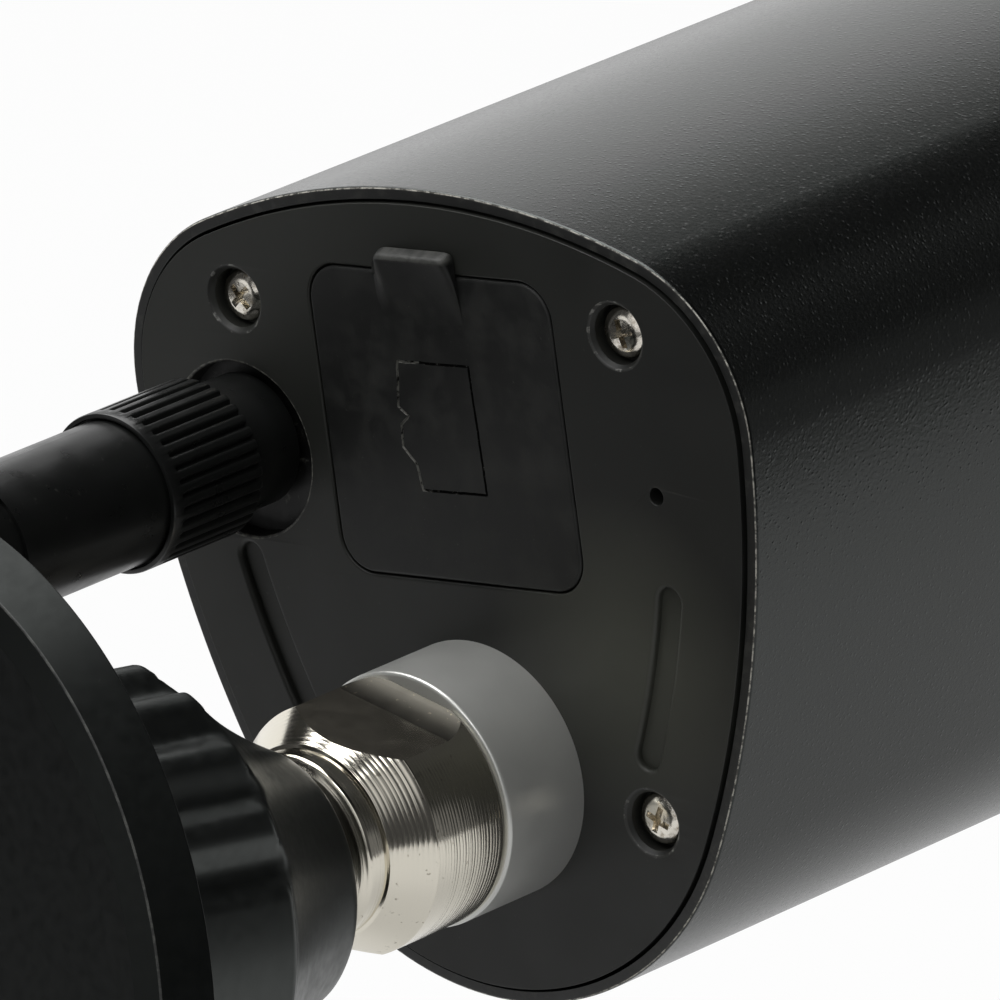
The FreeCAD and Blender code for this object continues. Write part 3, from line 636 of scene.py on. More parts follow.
def nickel_finish(name, turned, tone, rough):
    """Nickel plate: fine turned rings on the lathe work, faint smears on the milled flats."""
    made, tree, shader = new_finish(name, Metallic=1.0)
    where = local_mm(tree, CAMERA_FRAME)
    stain = ramp(tree, grain(tree, where, 1.6, 4.0), 0.66, 0.72, 0.0, 0.6)
    if turned:
        along = lengthwise(tree, where)
        drift = maths(tree, "MULTIPLY", grain(tree, along, 0.6, 2.0), 9.0)
        turns = maths(tree, "MULTIPLY", split_xyz(tree, where)["Y"], 17.0)
        wave = maths(tree, "MULTIPLY", maths(tree, "SINE", maths(tree, "ADD", turns, drift)), 0.12)
        marks = maths(tree, "ADD", grain(tree, along, 3.5, 2.0, 0.6), wave)
        normal = bumped(tree, marks, 0.42, 0.05)
    else:
        marks = grain(tree, where, 0.5, 4.0, 0.6)
        normal = bumped(tree, grain(tree, where, 1.2, 4.0), 0.15, 0.03)
    join(
        tree, shader,
        Base_Color=blend(tree, stain, tone, (0.25, 0.22, 0.16)),
        Roughness=ramp(tree, marks, 0.3, 0.7, rough - 0.04, rough + 0.04),
        Normal=normal,
    )
    return made


def boss_finish():
    """Satin grey metal with faint turned rings."""
    made, tree, shader = new_finish("collar_metal", Metallic=0.6)
    where = local_mm(tree, CAMERA_FRAME)
    lines = grain(tree, lengthwise(tree, where), 3.0, 4.0, 0.7)
    smear = grain(tree, where, 0.25, 4.0, 0.6)
    join(
        tree, shader,
        Base_Color=blend(tree, smear, (0.66, 0.665, 0.64), (0.74, 0.745, 0.71)),
        Roughness=ramp(tree, smear, 0.3, 0.7, 0.30, 0.38),
        Normal=bumped(tree, lines, 0.06, 0.03),
    )
    return made


def bracket_finish(name, gloss):
    """Smooth satin black coat."""
    made, tree, shader = new_finish(name, Specular_IOR_Level=gloss, Specular_Tint=COAT_TINT)
    where = local_mm(tree, BRACKET_FRAME)
    peel = grain(tree, where, 0.9, 3.0)
    fine = grain(tree, where, 5.0, 2.0)
    dust = ramp(tree, grain(tree, where, 1.5, 4.0, 0.6), 0.70, 0.76, 0.0, 0.4)
    height = maths(tree, "ADD", peel, maths(tree, "MULTIPLY", fine, 0.3))
    join(
        tree, shader,
        Base_Color=blend(tree, dust, (0.0026, 0.003, 0.0029), (0.028, 0.03, 0.028)),
        Roughness=ramp(tree, peel, 0.3, 0.7, 0.32, 0.42),
        Normal=bumped(tree, height, 0.15, 0.04),
    )
    return made


def screw_finish():
    """Bright steel with grime in patches."""
    made, tree, shader = new_finish("bright_steel", Metallic=1.0)
    where = local_mm(tree, CAMERA_FRAME)
    grime = ramp(tree, grain(tree, where, 1.1, 5.0, 0.65), 0.52, 0.68, 0.0, 0.8)
    join(
        tree, shader,
        Base_Color=blend(tree, grime, (0.82, 0.78, 0.70), (0.28, 0.23, 0.16)),
        Roughness=ramp(tree, grime, 0.0, 1.0, 0.16, 0.38),
        Normal=bumped(tree, grain(tree, where, 2.5, 4.0), 0.35, 0.06),
    )
    return made


def plain_finish(name, dark, light, roughness, metallic=0.0, bump=0.2, **constants):
    """A moulded, plated or coated surface with slight mottling."""
    made, tree, shader = new_finish(name, Metallic=metallic, **constants)
    where = local_mm(tree, CAMERA_FRAME)
    mottle = grain(tree, where, 0.8, 4.0, 0.6)
    join(
        tree, shader,
        Base_Color=blend(tree, mottle, dark, light),
        Roughness=ramp(tree, mottle, 0.3, 0.7, roughness - 0.05, roughness + 0.05),
        Normal=bumped(tree, grain(tree, where, 4.0, 2.0), bump, 0.02),
    )
    return made


# The finish of each material slot, then those of the grip and of single faces
LOOKS = {
    "housing_coat": coat_finish(),
    "plate_plastic": plate_finish(),
    "cover_rubber": rubber_finish(),
    "antenna_plastic": antenna_finish(),
    "nickel": nickel_finish("nickel_turned", True, (0.80, 0.76, 0.66), 0.14),
    "collar_metal": boss_finish(),
    "bracket_black": bracket_finish("bracket_black", 0.2),
    "bright_steel": screw_finish(),
    "silicone": plain_finish("silicone", (0.05, 0.05, 0.05), (0.08, 0.08, 0.08), 0.6),
    "circuit_board": plain_finish("circuit_board", (0.006, 0.045, 0.022), (0.012, 0.07, 0.03), 0.35),
    "sheet_metal": plain_finish("sheet_metal", (0.58, 0.59, 0.60), (0.70, 0.71, 0.72), 0.3, 1.0),
    "gilt_brass": plain_finish("gilt_brass", (0.62, 0.44, 0.16), (0.75, 0.56, 0.24), 0.24, 1.0),
    "dark_plastic": plain_finish("dark_plastic", (0.008, 0.008, 0.008), (0.014, 0.014, 0.014), 0.4),
    "led_resin": plain_finish("led_resin", (0.52, 0.52, 0.55), (0.66, 0.66, 0.70), 0.12, bump=0.02),
    "seat_plastic": plain_finish("seat_plastic", (0.62, 0.62, 0.59), (0.74, 0.74, 0.71), 0.35),
    "window_glass": plain_finish(
        "window_glass", (0.50, 0.50, 0.54), (0.54, 0.54, 0.58), 0.06, bump=0.0, Transmission_Weight=1.0
    ),
    "lens_glass": plain_finish(
        "lens_glass", (0.010, 0.008, 0.020), (0.016, 0.012, 0.035), 0.08, bump=0.0, Coat_Weight=1.0
    ),
}
GRIP_BLACK = bracket_finish("grip_black", 0.85)
MILLED_NICKEL = nickel_finish("nickel_milled", False, (0.80, 0.74, 0.62), 0.16)
# painted shade: a dark copy of the nickel, for the curved run-out of the flats
SHADED_NICKEL = nickel_finish("nickel_painted_shade", False, (0.075, 0.071, 0.06), 0.36)
WORN_EDGE = worn_finish("housing_worn_edge", (0.06, 0.058, 0.05), (0.50, 0.485, 0.43), 1.6, 0.50)
RIM_FACE = worn_finish("housing_rim_face", (0.009, 0.0095, 0.009), (0.03, 0.03, 0.027), 0.7, 0.60)
WORN_RIM = worn_finish("plate_worn_rim", (0.03, 0.03, 0.028), (0.16, 0.16, 0.14), 1.6, 0.52)
# painted highlight: a paler band with pale dots along the disc's rear edge
BASE_EDGE_HIGHLIGHT = worn_finish(
    "bracket_edge_painted_highlight", (0.014, 0.015, 0.014), (0.06, 0.062, 0.056), 0.9, 0.54, BRACKET_FRAME
)
# painted highlight: each screw well's dish is painted paler than the plate, dappled with pale dots, for the light
# caught on its bevel
WELL_DISH_HIGHLIGHT = worn_finish("well_dish_painted_highlight", (0.016, 0.0165, 0.015), (0.26, 0.26, 0.24), 1.1, 0.60)
# painted shade: the antenna well's inner wall is painted blacker than the plate, with pale specks of grit
WELL_SHADE_SPECKS = worn_finish("antenna_well", (0.003, 0.0032, 0.003), (0.12, 0.12, 0.105), 0.8, 0.68)
LINE_HIGHLIGHT = line_highlight_finish()


def dress_nodes():
    """Every CAD node takes the finish of its slot."""
    for row in frame["record"]["subparts"]:
        mesh = frame["nodes"][row["node"]].data
        mesh.materials.clear()
        mesh.materials.append(LOOKS[row["material_slot"]])


# Pieces that stand for CAD nodes, with their edges rounded

def outline_centres():
    """Arc centres of the right half of the housing outline: top, corner, side and bottom."""
    top = (0.0, HOUSING_H / 2 - R_TOP)
    bottom = (0.0, R_BOTTOM - HOUSING_H / 2)
    corner_x = HOUSING_W / 2 - R_CORNER
    corner = (corner_x, top[1] + math.sqrt((R_TOP - R_CORNER) ** 2 - corner_x ** 2))
    reach_corner = R_SIDE - R_CORNER
    reach_bottom = R_SIDE - R_BOTTOM
    gap = Vector(bottom) - Vector(corner)
    along = (reach_corner ** 2 - reach_bottom ** 2 + gap.length ** 2) / (2 * gap.length)
    off = math.sqrt(reach_corner ** 2 - along ** 2)
    unit = gap.normalized()
    side = (corner[0] + along * unit.x + off * unit.y, corner[1] + along * unit.y - off * unit.x)
    return top, corner, side, bottom


TOP_C, CORNER_C, SIDE_C, BOTTOM_C = outline_centres()


def outline(inset):
    """Closed housing outline, moved inwards by inset, from the top left clockwise."""
    top_deg = direction_deg(TOP_C, CORNER_C)
    side_deg = direction_deg(SIDE_C, CORNER_C)
    bottom_deg = direction_deg(SIDE_C, BOTTOM_C)
    left_corner = (-CORNER_C[0], CORNER_C[1])
    left_side = (-SIDE_C[0], SIDE_C[1])
    steps = OUTLINE_STEPS
    points = arc(TOP_C, R_TOP - inset, 180 - top_deg, top_deg, steps)
    points += arc(CORNER_C, R_CORNER - inset, top_deg, side_deg, steps)
    points += arc(SIDE_C, R_SIDE - inset, side_deg, bottom_deg, steps)
    points += arc(BOTTOM_C, R_BOTTOM - inset, bottom_deg, -180 - bottom_deg, 2 * steps)
    points += arc(left_side, R_SIDE - inset, 180 - bottom_deg, 180 - side_deg, steps)
    points += arc(left_corner, R_CORNER - inset, 180 - side_deg, 180 - top_deg, steps)
    return points


def make_housing():
    """Tube with a thin rear rim. Its rounded outer edge starts at ring 0, on the rim's face."""
    section = (
        (0, RIM_Y, EDGE_ROUND), (0, HOUSING_LEN, EDGE_ROUND), (WALL, HOUSING_LEN, EDGE_ROUND),
        (WALL, RIM_LEN + 1, 0.1), (RIM_T, RIM_LEN, 0.1), (RIM_T, RIM_Y, PLATE_ROUND),
    )
    rings = [ring(outline(inset), y) for inset, y in rounded(section, True, 4)]
    coat, worn_edge, rim_face = range(3)
    form = Form()
    form.finish = coat
    form.band(rings[2:])
    form.finish = worn_edge
    form.band(rings[1:3])
    form.finish = rim_face
    form.band(rings[-1:] + rings[:2])
    shell = add_object("housing_shell", form.mesh("housing_shell", CAMERA_FRAME))
    dress(shell, "camera", ["housing"], [LOOKS["housing_coat"], WORN_EDGE, RIM_FACE])


def groove_loop(side):
    """Outline of one groove, which follows the housing's side; side is 1 or -1."""
    r = R_SIDE - GROOVE_INSET
    half = GROOVE_W / 2
    upper, lower = GROOVE_DEG
    loop = arc(SIDE_C, r + half, upper, lower, 24)
    loop += arc(polar(SIDE_C, r, lower), half, lower, lower - 180, 12)
    loop += arc(SIDE_C, r - half, lower, upper, 24)
    loop += arc(polar(SIDE_C, r, upper), half, upper + 180, upper, 12)
    return [(side * x, z) for x, z in loop]


def make_rear_plate():
    """Plate with wells for screws and antenna, the cover's recess, two grooves and a microphone hole."""
    recess = rounded_box(COVER_X, COVER_Z, COVER_CORNER_R)
    slot = rounded_box(CARD_SLOT[:2], CARD_SLOT[2:], 0.2, 3)
    antenna_well = circle(ANTENNA_WELL, WELL_R, 128)
    screw_wells = [circle(place, SCREW_WELL_R, 64) for place in SCREWS]
    holes = [(groove_loop(side), GROOVE_DEPTH, GROOVE_ROUND) for side in (1, -1)]
    holes.append((circle(MIC_POS, MIC_HOLE_R, 32), PLATE_T - 0.2, MIC_ROUND))
    holes.append((antenna_well, WELL_DEPTH, WELL_ROUND))
    holes.append((recess, RECESS_DEPTH, RECESS_ROUND))
    edge = outline(RIM_T + PLATE_GAP)
    rims = [offset(loop, r) for loop, depth, r in holes]
    rims += [offset(loop, SCREW_WELL_BEVEL) for loop in screw_wells]
    plastic, worn_rim, lit_dish, shaded_wall = range(4)
    form = Form()
    form.flat([offset(edge, -PLATE_ROUND)] + rims, 0)
    form.band(edge_rings(edge, PLATE_ROUND, False) + [ring(edge, PLATE_T)])
    form.flat([edge, slot], PLATE_T)
    for loop in screw_wells:
        dish = [ring(offset(loop, SCREW_WELL_BEVEL - inset), y) for inset, y in SCREW_DISH]
        bore = offset(loop, SCREW_WELL_BEVEL - SCREW_DISH[-1][0])
        # the dish takes the painted highlight
        form.finish = lit_dish
        form.band(dish[:4])
        form.finish = plastic
        form.band(dish[3:] + [ring(bore, SCREW_WELL_DEPTH)])
        form.cap(ring(bore, SCREW_WELL_DEPTH))
    for loop, depth, r in holes:
        rounded_rim = edge_rings(loop, r, True)
        form.finish = worn_rim if loop is antenna_well else plastic
        form.band(rounded_rim)
        # the antenna well's wall takes the painted shade
        form.finish = shaded_wall if loop is antenna_well else plastic
        form.band([rounded_rim[-1], ring(loop, depth)])
        if loop is not recess:
            form.cap(ring(loop, depth))
    form.finish = plastic
    form.flat([recess, slot], RECESS_DEPTH)
    form.band([ring(slot, RECESS_DEPTH), ring(slot, PLATE_T)])
    plate = add_object("rear_plate_face", form.mesh("rear_plate_face", CAMERA_FRAME))
    looks = [LOOKS["plate_plastic"], WORN_RIM, WELL_DISH_HIGHLIGHT, WELL_SHADE_SPECKS]
    dress(plate, "camera", ["rear_plate"], looks)


def uneven(loop, amount, step):
    """A loop of corners divided into short steps and shaken a little, as a rough cut is."""
    points = []
    for k, start in enumerate(loop):
        end = loop[(k + 1) % len(loop)]
        count = max(1, round(math.dist(start, end) / step))
        for part in range(count):
            x = start[0] + (end[0] - start[0]) * part / count
            z = start[1] + (end[1] - start[1]) * part / count
            shake = noise.noise_vector(Vector((x * 1.7, z * 1.7, 3.0)))
            points.append((x + amount * shake.x, z + amount * shake.y))
    return points


def add_icon(form, edge):
    """Rear face of the cover with the engraved outline of a memory card."""
    line = uneven(ICON_CORNERS, ICON_SHAKE, ICON_STEP)
    outer = offset(line, ICON_LINE / 2)
    inner = offset(line, -ICON_LINE / 2)
    form.flat([edge, outer], 0)
    form.flat([inner], 0)
    form.finish = 1
    form.flat([outer, inner], ICON_DEPTH)
    for loop in (outer, inner):
        form.band([ring(loop, 0), ring(loop, ICON_DEPTH)])
    form.finish = 0


def add_tab(form, top):
    """Raised pull tab: a wedge that grows out of the cover and stands over its upper edge."""
    low = TAB_TOP - TAB_LEN
    rings = []
    for x, share in TAB_STATIONS:
        rise = TAB_RISE * share
        peak = top + 0.1 + (TAB_TOP - top - 0.1) * share ** 0.4
        brow = peak - 0.75
        section = [(TAB_ROOT, low)]
        for k in range(17):
            t = k / 16
            section.append((TAB_SINK - (rise + TAB_SINK) * t ** 2, low + t * (brow - low)))
        section += [(-0.97 * rise, brow + 0.2), (-0.88 * rise, brow + 0.36), (-0.75 * rise, brow + 0.46)]
        section += [(-TAB_LAP - 0.13 * rise, peak), (-TAB_LAP - 0.04 * rise, peak - 0.05)]
        section += [(-TAB_LAP, peak - 0.2), (-TAB_LAP, top - 0.3), (TAB_ROOT, top - 0.6)]
        rings.append([Vector((x, y, z)) for y, z in section])
    form.prism(rings)


def make_cover():
    """Rubber card cover with its icon and pull tab."""
    x = (COVER_X[0] + COVER_GAP, COVER_X[1] - COVER_GAP)
    z = (COVER_Z[0] + COVER_GAP, COVER_Z[1] - COVER_GAP)
    edge = rounded_box(x, z, COVER_CORNER_R - COVER_GAP)
    form = Form()
    add_icon(form, offset(edge, -COVER_ROUND))
    form.band(edge_rings(edge, COVER_ROUND, False) + [ring(edge, COVER_T)])
    form.cap(ring(edge, COVER_T))
    add_tab(form, z[1])
    cover = add_object("card_cover", form.mesh("card_cover", CAMERA_FRAME))
    dress(cover, "sd_cover", ["sd_cover"], [LOOKS["cover_rubber"], LINE_HIGHLIGHT])


def make_screws():
    """Pan-head screws with tapered cross recesses."""
    seat = SCREW_WELL_DEPTH
    head = (
        (0, seat - 1.35, 0), (1.5, seat - 1.2, 1.2), (SCREW_HEAD_R, seat - 0.75, 0.5),
        (SCREW_HEAD_R, seat, 0.1), (SCREW_SHANK_R, seat, 0), (SCREW_SHANK_R, seat + 9.2, 0.2),
        (0, seat + 10.0, 0),
    )
    recess = ((seat - 1.6, 1.45, 0.34), (seat - 0.35, 0.75, 0.2))
    for k, place in enumerate(SCREWS):
        form = Form()
        form.lathe(rounded(head), place, 64)
        screw = add_object(f"plate_screw_{k + 1}", form.mesh("plate_screw", CAMERA_FRAME))
        for turn in (0, 90):
            spin = Matrix.Rotation(math.radians(SCREW_TURNS[k] + turn), 2)
            rings = []
            for y, wide, narrow in recess:
                corners = ((-wide, -narrow), (wide, -narrow), (wide, narrow), (-wide, narrow))
                spun = [spin @ Vector(corner) for corner in corners]
                rings.append(ring([(place[0] + c.x, place[1] + c.y) for c in spun], y))
            arm = Form()
            arm.prism(rings)
            cut(screw, add_object("cutter", arm.mesh("cutter", CAMERA_FRAME)))
        dress(screw, "camera", ["plate_screws"], [LOOKS["bright_steel"]])


def ribbed(r, share):
    """Outline of the coupling nut at a radius, with a share of the ribs' full depth."""
    count = RIB_COUNT * RIB_STEPS
    loop = []
    for k in range(count):
        phase = k % RIB_STEPS / RIB_STEPS
        groove = max(0.0, math.cos(2 * math.pi * phase)) ** 1.5
        loop.append(polar(ANTENNA, r - share * RIB_DEPTH * groove, 360 * k / count))
    return loop


def make_collar():
    """Coupling nut with rounded ribs and a smooth lip."""
    ribs_from = COLLAR_MOUTH + COLLAR_LIP
    plug_from = COLLAR_MOUTH + PLUG_BORE_FROM
    plug_to = COLLAR_MOUTH + PLUG_BORE_TO
    bore = BARREL_R + BARREL_CLEAR
    stations = [
        (STUD_BORE_R, plug_to, 0), (PLUG_BORE_R, plug_to, 0), (PLUG_BORE_R, plug_from, 0),
        (bore, plug_from, 0), (bore, COLLAR_MOUTH + 0.1, 0), (bore + 0.1, COLLAR_MOUTH, 0),
        (COLLAR_R - 0.2, COLLAR_MOUTH, 0), (COLLAR_R - 0.06, COLLAR_MOUTH + 0.06, 0),
        (COLLAR_R, COLLAR_MOUTH + 0.2, 0), (COLLAR_R, ribs_from - 0.1, 0), (COLLAR_R, ribs_from + 0.25, 1),
        (COLLAR_R, RIBS_END - 0.5, 1), (COLLAR_R - 0.13, RIBS_END - 0.13, 1), (COLLAR_R - 0.5, RIBS_END, 1),
        (COLLAR_NECK_R + 0.1, RIBS_END, 0), (COLLAR_NECK_R, RIBS_END + 0.1, 0),
        (COLLAR_NECK_R, COLLAR_END - 0.2, 0), (COLLAR_NECK_R - 0.2, COLLAR_END, 0),
        (NUT_ROOM_R, COLLAR_END, 0), (NUT_ROOM_R, NUT_ROOM_Y, 0), (STUD_BORE_R, NUT_ROOM_Y, 0),
    ]
    form = Form()
    form.band([ring(ribbed(r, share), y) for r, y, share in stations], True)
    collar = add_object("antenna_collar_ribbed", form.mesh("antenna_collar_ribbed", CAMERA_FRAME))
    dress(collar, "antenna_collar", ["antenna_collar"], [LOOKS["antenna_plastic"]])


def flat_cutter(side):
    """Prism of the milled flat with its curved run-out, on one side of the stem."""
    profile = [(CONE_END - 1, FLAT_HALF), (FLAT_RUNOUT, FLAT_HALF)]
    for k in range(1, RUNOUT_STEPS + 1):
        a = math.radians(RUNOUT_DEG * k / RUNOUT_STEPS)
        y = FLAT_RUNOUT + CUTTER_R * math.sin(a)
        profile.append((y, FLAT_HALF + CUTTER_R * (1 - math.cos(a))))
    profile.append((CONE_END - 1, profile[-1][1]))
    form = Form()
    form.prism([[Vector((x, y, z)) for y, z in profile] for x in (-FLAT_REACH, FLAT_REACH)])
    turn = Matrix.Rotation(math.radians(FLAT_TURN + side), 4, "Y")
    place = CAMERA_FRAME @ Matrix.Translation((0, 0, STEM_Z)) @ turn
    return add_object("cutter", form.mesh("cutter", place))


def stem_profile():
    """Section of the turned stem, from the bore in the ball round to the bore in the spigot.

    The first point of the neck's run lies on the ball and only gives the next corner its direction.
    """
    bore_deg = math.degrees(math.acos(CABLE_BORE_R / BALL_R))
    waist_deg = math.degrees(math.acos(WAIST_R / BALL_R))
    ball = arc((0, BALL_Y), BALL_R, -bore_deg, waist_deg, 40)
    corners = [(r, BALL_Y + y, rounding) for r, y, rounding in NECK_RUN]
    corners += [
        (NECK_R, NECK_END - 0.1, 0.4), (NECK_R, CONE_END - 0.4, 0.05),
        (NECK_R - NECK_GROOVE, CONE_END - 0.33, 0), (NECK_R - NECK_GROOVE, CONE_END - 0.12, 0),
        (CONE_END_R, CONE_END, 0.06), (STEM_R, STEM_SHOULDER - 0.2, 0.25),
        (STEM_R, BOSS_END - STEM_BEVEL, 0.1), (STEM_R - STEM_BEVEL, BOSS_END, 0.1),
        (SPIGOT_R, BOSS_END, 0), (SPIGOT_R, SPIGOT_END, 0), (CABLE_BORE_R, SPIGOT_END, 0),
    ]
    return ball + rounded(corners)[1:]


def make_stem():
    """Turned stem with two milled flats, which take a finish of their own along them and painted shade at their
    run-out.
    """
    form = Form()
    form.lathe(stem_profile(), (0, STEM_Z), 256, True)
    stem = add_object("stem_turned", form.mesh("stem_turned", CAMERA_FRAME))
    for side in (0, 180):
        cut(stem, flat_cutter(side))
    dress(stem, "stem", ["stem"], [LOOKS["nickel"], MILLED_NICKEL, SHADED_NICKEL], 20.0)
    turned, flat, run_out = range(3)
    back = CAMERA_FRAME.inverted()
    cone_top = STEM_SHOULDER - 0.1
    for face in stem.data.polygons:
        at = back @ face.center
        if CONE_END < at.y <= cone_top:
            milled = abs((CAMERA_TURN.transposed() @ face.normal).y) < 0.1
        else:
            turned_r = STEM_R - max(0.0, at.y - BOSS_END + STEM_BEVEL)
            cut_back = math.hypot(at.x, at.z - STEM_Z) < turned_r - 0.03
            milled = cut_back and cone_top < at.y < BOSS_END - 0.01
        on_flat = run_out if at.y > FLAT_RUNOUT + 0.3 else flat
        face.material_index = on_flat if milled else turned


def make_boss():
    """Satin collar between the rear plate and the stem."""
    bore_r = SPIGOT_R + BOSS_GAP
    end = BOSS_END + BOSS_GAP
    corners = ((bore_r, end, 0), (BOSS_R, end, BOSS_ROUND), (BOSS_R, 0, 0), (bore_r, 0, 0))
    form = Form()
    form.lathe(rounded(corners, True), (0, STEM_Z), 256, True)
    boss = add_object("stem_boss", form.mesh("stem_boss", CAMERA_FRAME))
    dress(boss, "camera", ["stem_collar"], [LOOKS["collar_metal"]])


def flute_depth(deg):
    """How deep the grip is cut at an angle: groups of soft waves with plain bands between."""
    half = FLUTES * FLUTE_PITCH / 2
    for group in range(FLUTE_GROUPS):
        away = (deg - FLUTE_GROUP_DEG - group * 360 / FLUTE_GROUPS + 180) % 360 - 180
        if abs(away) < half:
            return FLUTE_DEPTH * (0.5 - 0.5 * math.cos(2 * math.pi * (away + half) / FLUTE_PITCH))
    return 0.0


def grip_loop(r):
    """Ring outline at a radius, cut back with a soft edge where a flute is deeper."""
    loop = []
    for k in range(RING_STEPS):
        deg = 360 * k / RING_STEPS
        flute_r = RING_R + FLUTE_EASE / 4 - flute_depth(deg)
        eased = (r + flute_r - math.hypot(r - flute_r, FLUTE_EASE)) / 2
        loop.append(polar((0, 0), eased, deg))
    return loop


def make_lock_ring():
    """Fluted grip with a domed nose, hollow for the base's cup and the ball."""
    sphere_r = BALL_R + BALL_CLEAR
    lip_at = math.sqrt(sphere_r ** 2 - LIP_R ** 2)
    grip = [
        (RING_BORE_R, RING_REAR), (RING_R - 0.5, RING_REAR), (RING_R - 0.15, RING_REAR + 0.15),
        (RING_R, RING_REAR + 0.5), (RING_R, GRIP_FRONT - 0.4), (RING_R - 0.12, GRIP_FRONT),
        (RING_R - 0.5, GRIP_FRONT + 0.4), (RING_R - 1.1, GRIP_FRONT + 0.7),
    ]
    dome_from = (NOSE_START_R, GRIP_FRONT + 1.0)
    dome_to = (NOSE_TIP_R + 0.3, NOSE_TIP - 0.5)
    dome = arc_through(dome_from, (NOSE_MID_R, NOSE_MID), dome_to, 24)
    mouth = [
        (NOSE_TIP_R, NOSE_TIP - 0.14), (NOSE_TIP_R - 0.25, NOSE_TIP), (LIP_R + 0.15, NOSE_TIP),
        (LIP_R, NOSE_TIP - 0.2), (LIP_R, lip_at),
    ]
    inside = [polar((0, 0), sphere_r, deg) for deg in (30.0, 24.0, 18.0, 12.0, 6.0, 0.0)]
    inside += [(sphere_r, RING_SHOULDER), (RING_BORE_R, RING_SHOULDER)]
    form = Form()
    form.band([ring(grip_loop(r), y) for r, y in grip + dome + mouth + inside], True)
    made = add_object("lock_ring_grip", form.mesh("lock_ring_grip", BRACKET_FRAME))
    dress(made, "lock_ring", ["lock_ring"], [GRIP_BLACK], 40.0)


def make_wall_base():
    """Disc with a bevelled rear edge, hub, cup for the ball and countersunk screw holes."""
    cup_top = CUP_TOP - WALL_Y
    socket_floor = SOCKET_FLOOR - WALL_Y
    corners = (
        (BASE_BORE_R, 0, 0.3), (DISC_FACE_R, 0, 0.3), (DISC_REAR_R, DISC_BEVEL, 0.3),
        (DISC_R, DISC_RIM, 0.12), (DISC_R - DISC_SLOPE, DISC_RIM + 0.7, 0.15),
        (HUB_R + 1.5, DISC_RIM + 2.5, 1.0), (HUB_R, DISC_RIM + 4.0, 0.6), (HUB_R, HUB_H, 0.6),
        (CUP_R, HUB_H, 0), (CUP_R, cup_top, 0.3), (CUP_BORE_R, cup_top, 0.3),
        (CUP_BORE_R, socket_floor, 0), (BASE_BORE_R, socket_floor, 0.3),
    )
    place = BRACKET_FRAME @ Matrix.Translation((0, WALL_Y, 0))
    form = Form()
    form.lathe(rounded(corners, True), (0, 0), 320, True)
    base = add_object("wall_base_disc", form.mesh("wall_base_disc", place))
    sink = DISC_RIM - 1.2
    hole = (
        (0, -1), (WALL_SCREW_R, -1), (WALL_SCREW_R, sink), (WALL_SCREW_HEAD_R, sink + 2),
        (WALL_SCREW_HEAD_R, 12), (0, 12),
    )
    for deg in WALL_SCREW_DEG:
        drill = Form()
        drill.lathe(hole, polar((0, 0), WALL_SCREW_PCD / 2, deg), 64)
        cut(base, add_object("cutter", drill.mesh("cutter", place)))
    dress(base, "wall_base", ["wall_base"], [LOOKS["bracket_black"], BASE_EDGE_HIGHLIGHT])
    back = place.inverted()
    # faces on the disc's rear edge take the painted highlight
    for face in base.data.polygons:
        at = back @ face.center
        on_edge = abs(at.y - DISC_BEVEL) < 0.1 and abs(math.hypot(at.x, at.z) - DISC_REAR_R) < 0.15
        face.material_index = 1 if on_edge else 0


# Stage: floor, light and the photograph's camera

def make_floor():
    """Pale table top, which ends a little behind the object and to its right."""
    low = CAD_BOX[0].z - FLOOR_DROP
    mesh = bpy.data.meshes.new("floor")
    mesh.from_pydata([(x, y, low) for x, y in FLOOR_CORNERS], [], [(0, 1, 2, 3)])
    floor = add_object("floor", mesh)
    made, tree, shader = new_finish("floor_white", Roughness=0.9, Base_Color=(0.5, 0.5, 0.5, 1))
    path = add(tree, "ShaderNodeLightPath").outputs
    mirrored = maths(tree, "MAXIMUM", path["Is Glossy Ray"], path["Is Transmission Ray"])
    shown = maths(tree, "MULTIPLY", path["Is Camera Ray"], FLOOR_SHOWN)
    share = maths(tree, "MAXIMUM", shown, maths(tree, "MULTIPLY", mirrored, FLOOR_MIRRORED))
    white = add(tree, "ShaderNodeEmission", {"Color": (1, 1, 1, 1), "Strength": 1.0})
    mixed = add(tree, "ShaderNodeMixShader", {0: share, 1: shader.outputs[0], 2: white.outputs[0]})
    tree.links.new(mixed.outputs[0], tree.nodes["Material Output"].inputs["Surface"])
    mesh.materials.append(made)


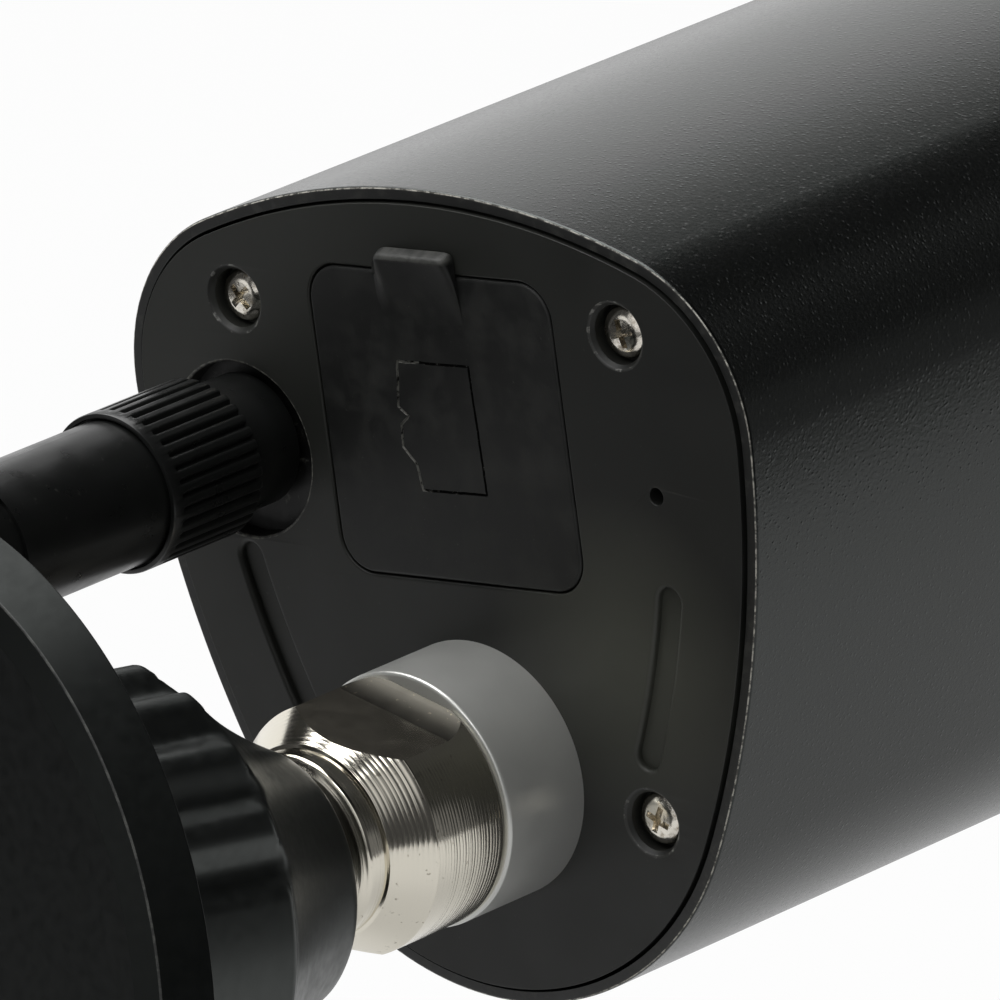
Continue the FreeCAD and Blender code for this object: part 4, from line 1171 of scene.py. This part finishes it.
def make_world():
    """Dim room, white where the camera looks past the floor.

    A wide pale wall is on the forward left, a faint low strip ahead, and two pale windows are behind.
    """
    world = bpy.data.worlds.new("studio")
    bpy.context.scene.world = world
    world.use_nodes = True
    tree = world.node_tree
    way = add(tree, "ShaderNodeTexCoord").outputs["Generated"]
    split = split_xyz(tree, way)
    forward_left = maths(tree, "MULTIPLY", maths(tree, "SUBTRACT", split["Y"], split["X"]), 0.7071)
    facing = ramp(tree, forward_left, 0.25, 0.55)
    below_top = ramp(tree, split["Z"], 0.55, 0.69, 1.0, 0.0)
    wall = maths(tree, "MULTIPLY", facing, below_top)
    ahead = ramp(tree, split["Y"], 0.2, 0.5)
    strip = maths(tree, "MULTIPLY", ahead, ramp(tree, split["Z"], 0.1, 0.3, STRIP_LEVEL, 0.0))
    room = ramp(tree, split["Z"], 0.4, 0.65, ROOM_LEVEL, ROOM_LEVEL / 5)
    lit = [strip, room, add(tree, "ShaderNodeLightPath").outputs["Is Camera Ray"]]
    for direction, begins, full in WINDOWS:
        towards = vector_value(tree, "DOT_PRODUCT", way, direction)
        lit.append(ramp(tree, towards, begins, full, 0.0, WINDOW_LEVEL))
    level = wall
    for one in lit:
        level = maths(tree, "MAXIMUM", level, one)
    sky = tree.nodes["Background"]
    sky.inputs["Color"].default_value = (1, 1, 1, 1)
    tree.links.new(level, sky.inputs["Strength"])


def add_softbox(name, away, size, power, aim):
    """Area lamp at a place away from its aim, turned to it."""
    data = bpy.data.lights.new(name, "AREA")
    data.shape = "RECTANGLE"
    data.size, data.size_y = size
    data.energy = power
    lamp = add_object(name, data)
    lamp.location = aim + away
    lamp.rotation_euler = (-away).to_track_quat("-Z", "Y").to_euler()


def make_lights():
    centre = (CAD_BOX[0] + CAD_BOX[1]) / 2
    add_softbox("overhead", Vector((-0.35, -0.2, 1.1)), size=(1.5, 0.9), power=18.0, aim=centre)
    add_softbox("key", Vector((0.48, -0.86, 0.75)), size=(0.3, 0.3), power=1.4, aim=centre)


def make_camera():
    aim = CAMERA_FRAME @ Vector(VIEW_AIM)
    azimuth = math.radians(VIEW_AZIMUTH)
    elevation = math.radians(VIEW_ELEVATION)
    level = math.cos(elevation)
    back = Vector((math.sin(azimuth) * level, -math.cos(azimuth) * level, math.sin(elevation)))
    data = bpy.data.cameras.new("photo_view")
    data.sensor_width = VIEW_SENSOR
    data.lens = VIEW_LENS
    data.clip_start = 0.05
    data.clip_end = 50.0
    camera = add_object("photo_view", data)
    look = (-back).to_track_quat("-Z", "Y").to_matrix()
    lean = Matrix.Rotation(math.radians(-VIEW_ROLL), 3, "Z")
    camera.matrix_world = Matrix.Translation(aim + back * VIEW_DISTANCE * MM) @ (look @ lean).to_4x4()
    bpy.context.scene.camera = camera


make_camera()
make_world()
make_lights()
make_floor()
dress_nodes()
make_housing()
make_rear_plate()
make_cover()
make_screws()
make_collar()
make_stem()
make_boss()
make_lock_ring()
make_wall_base()

bpy.context.scene.view_settings.view_transform = "Standard"
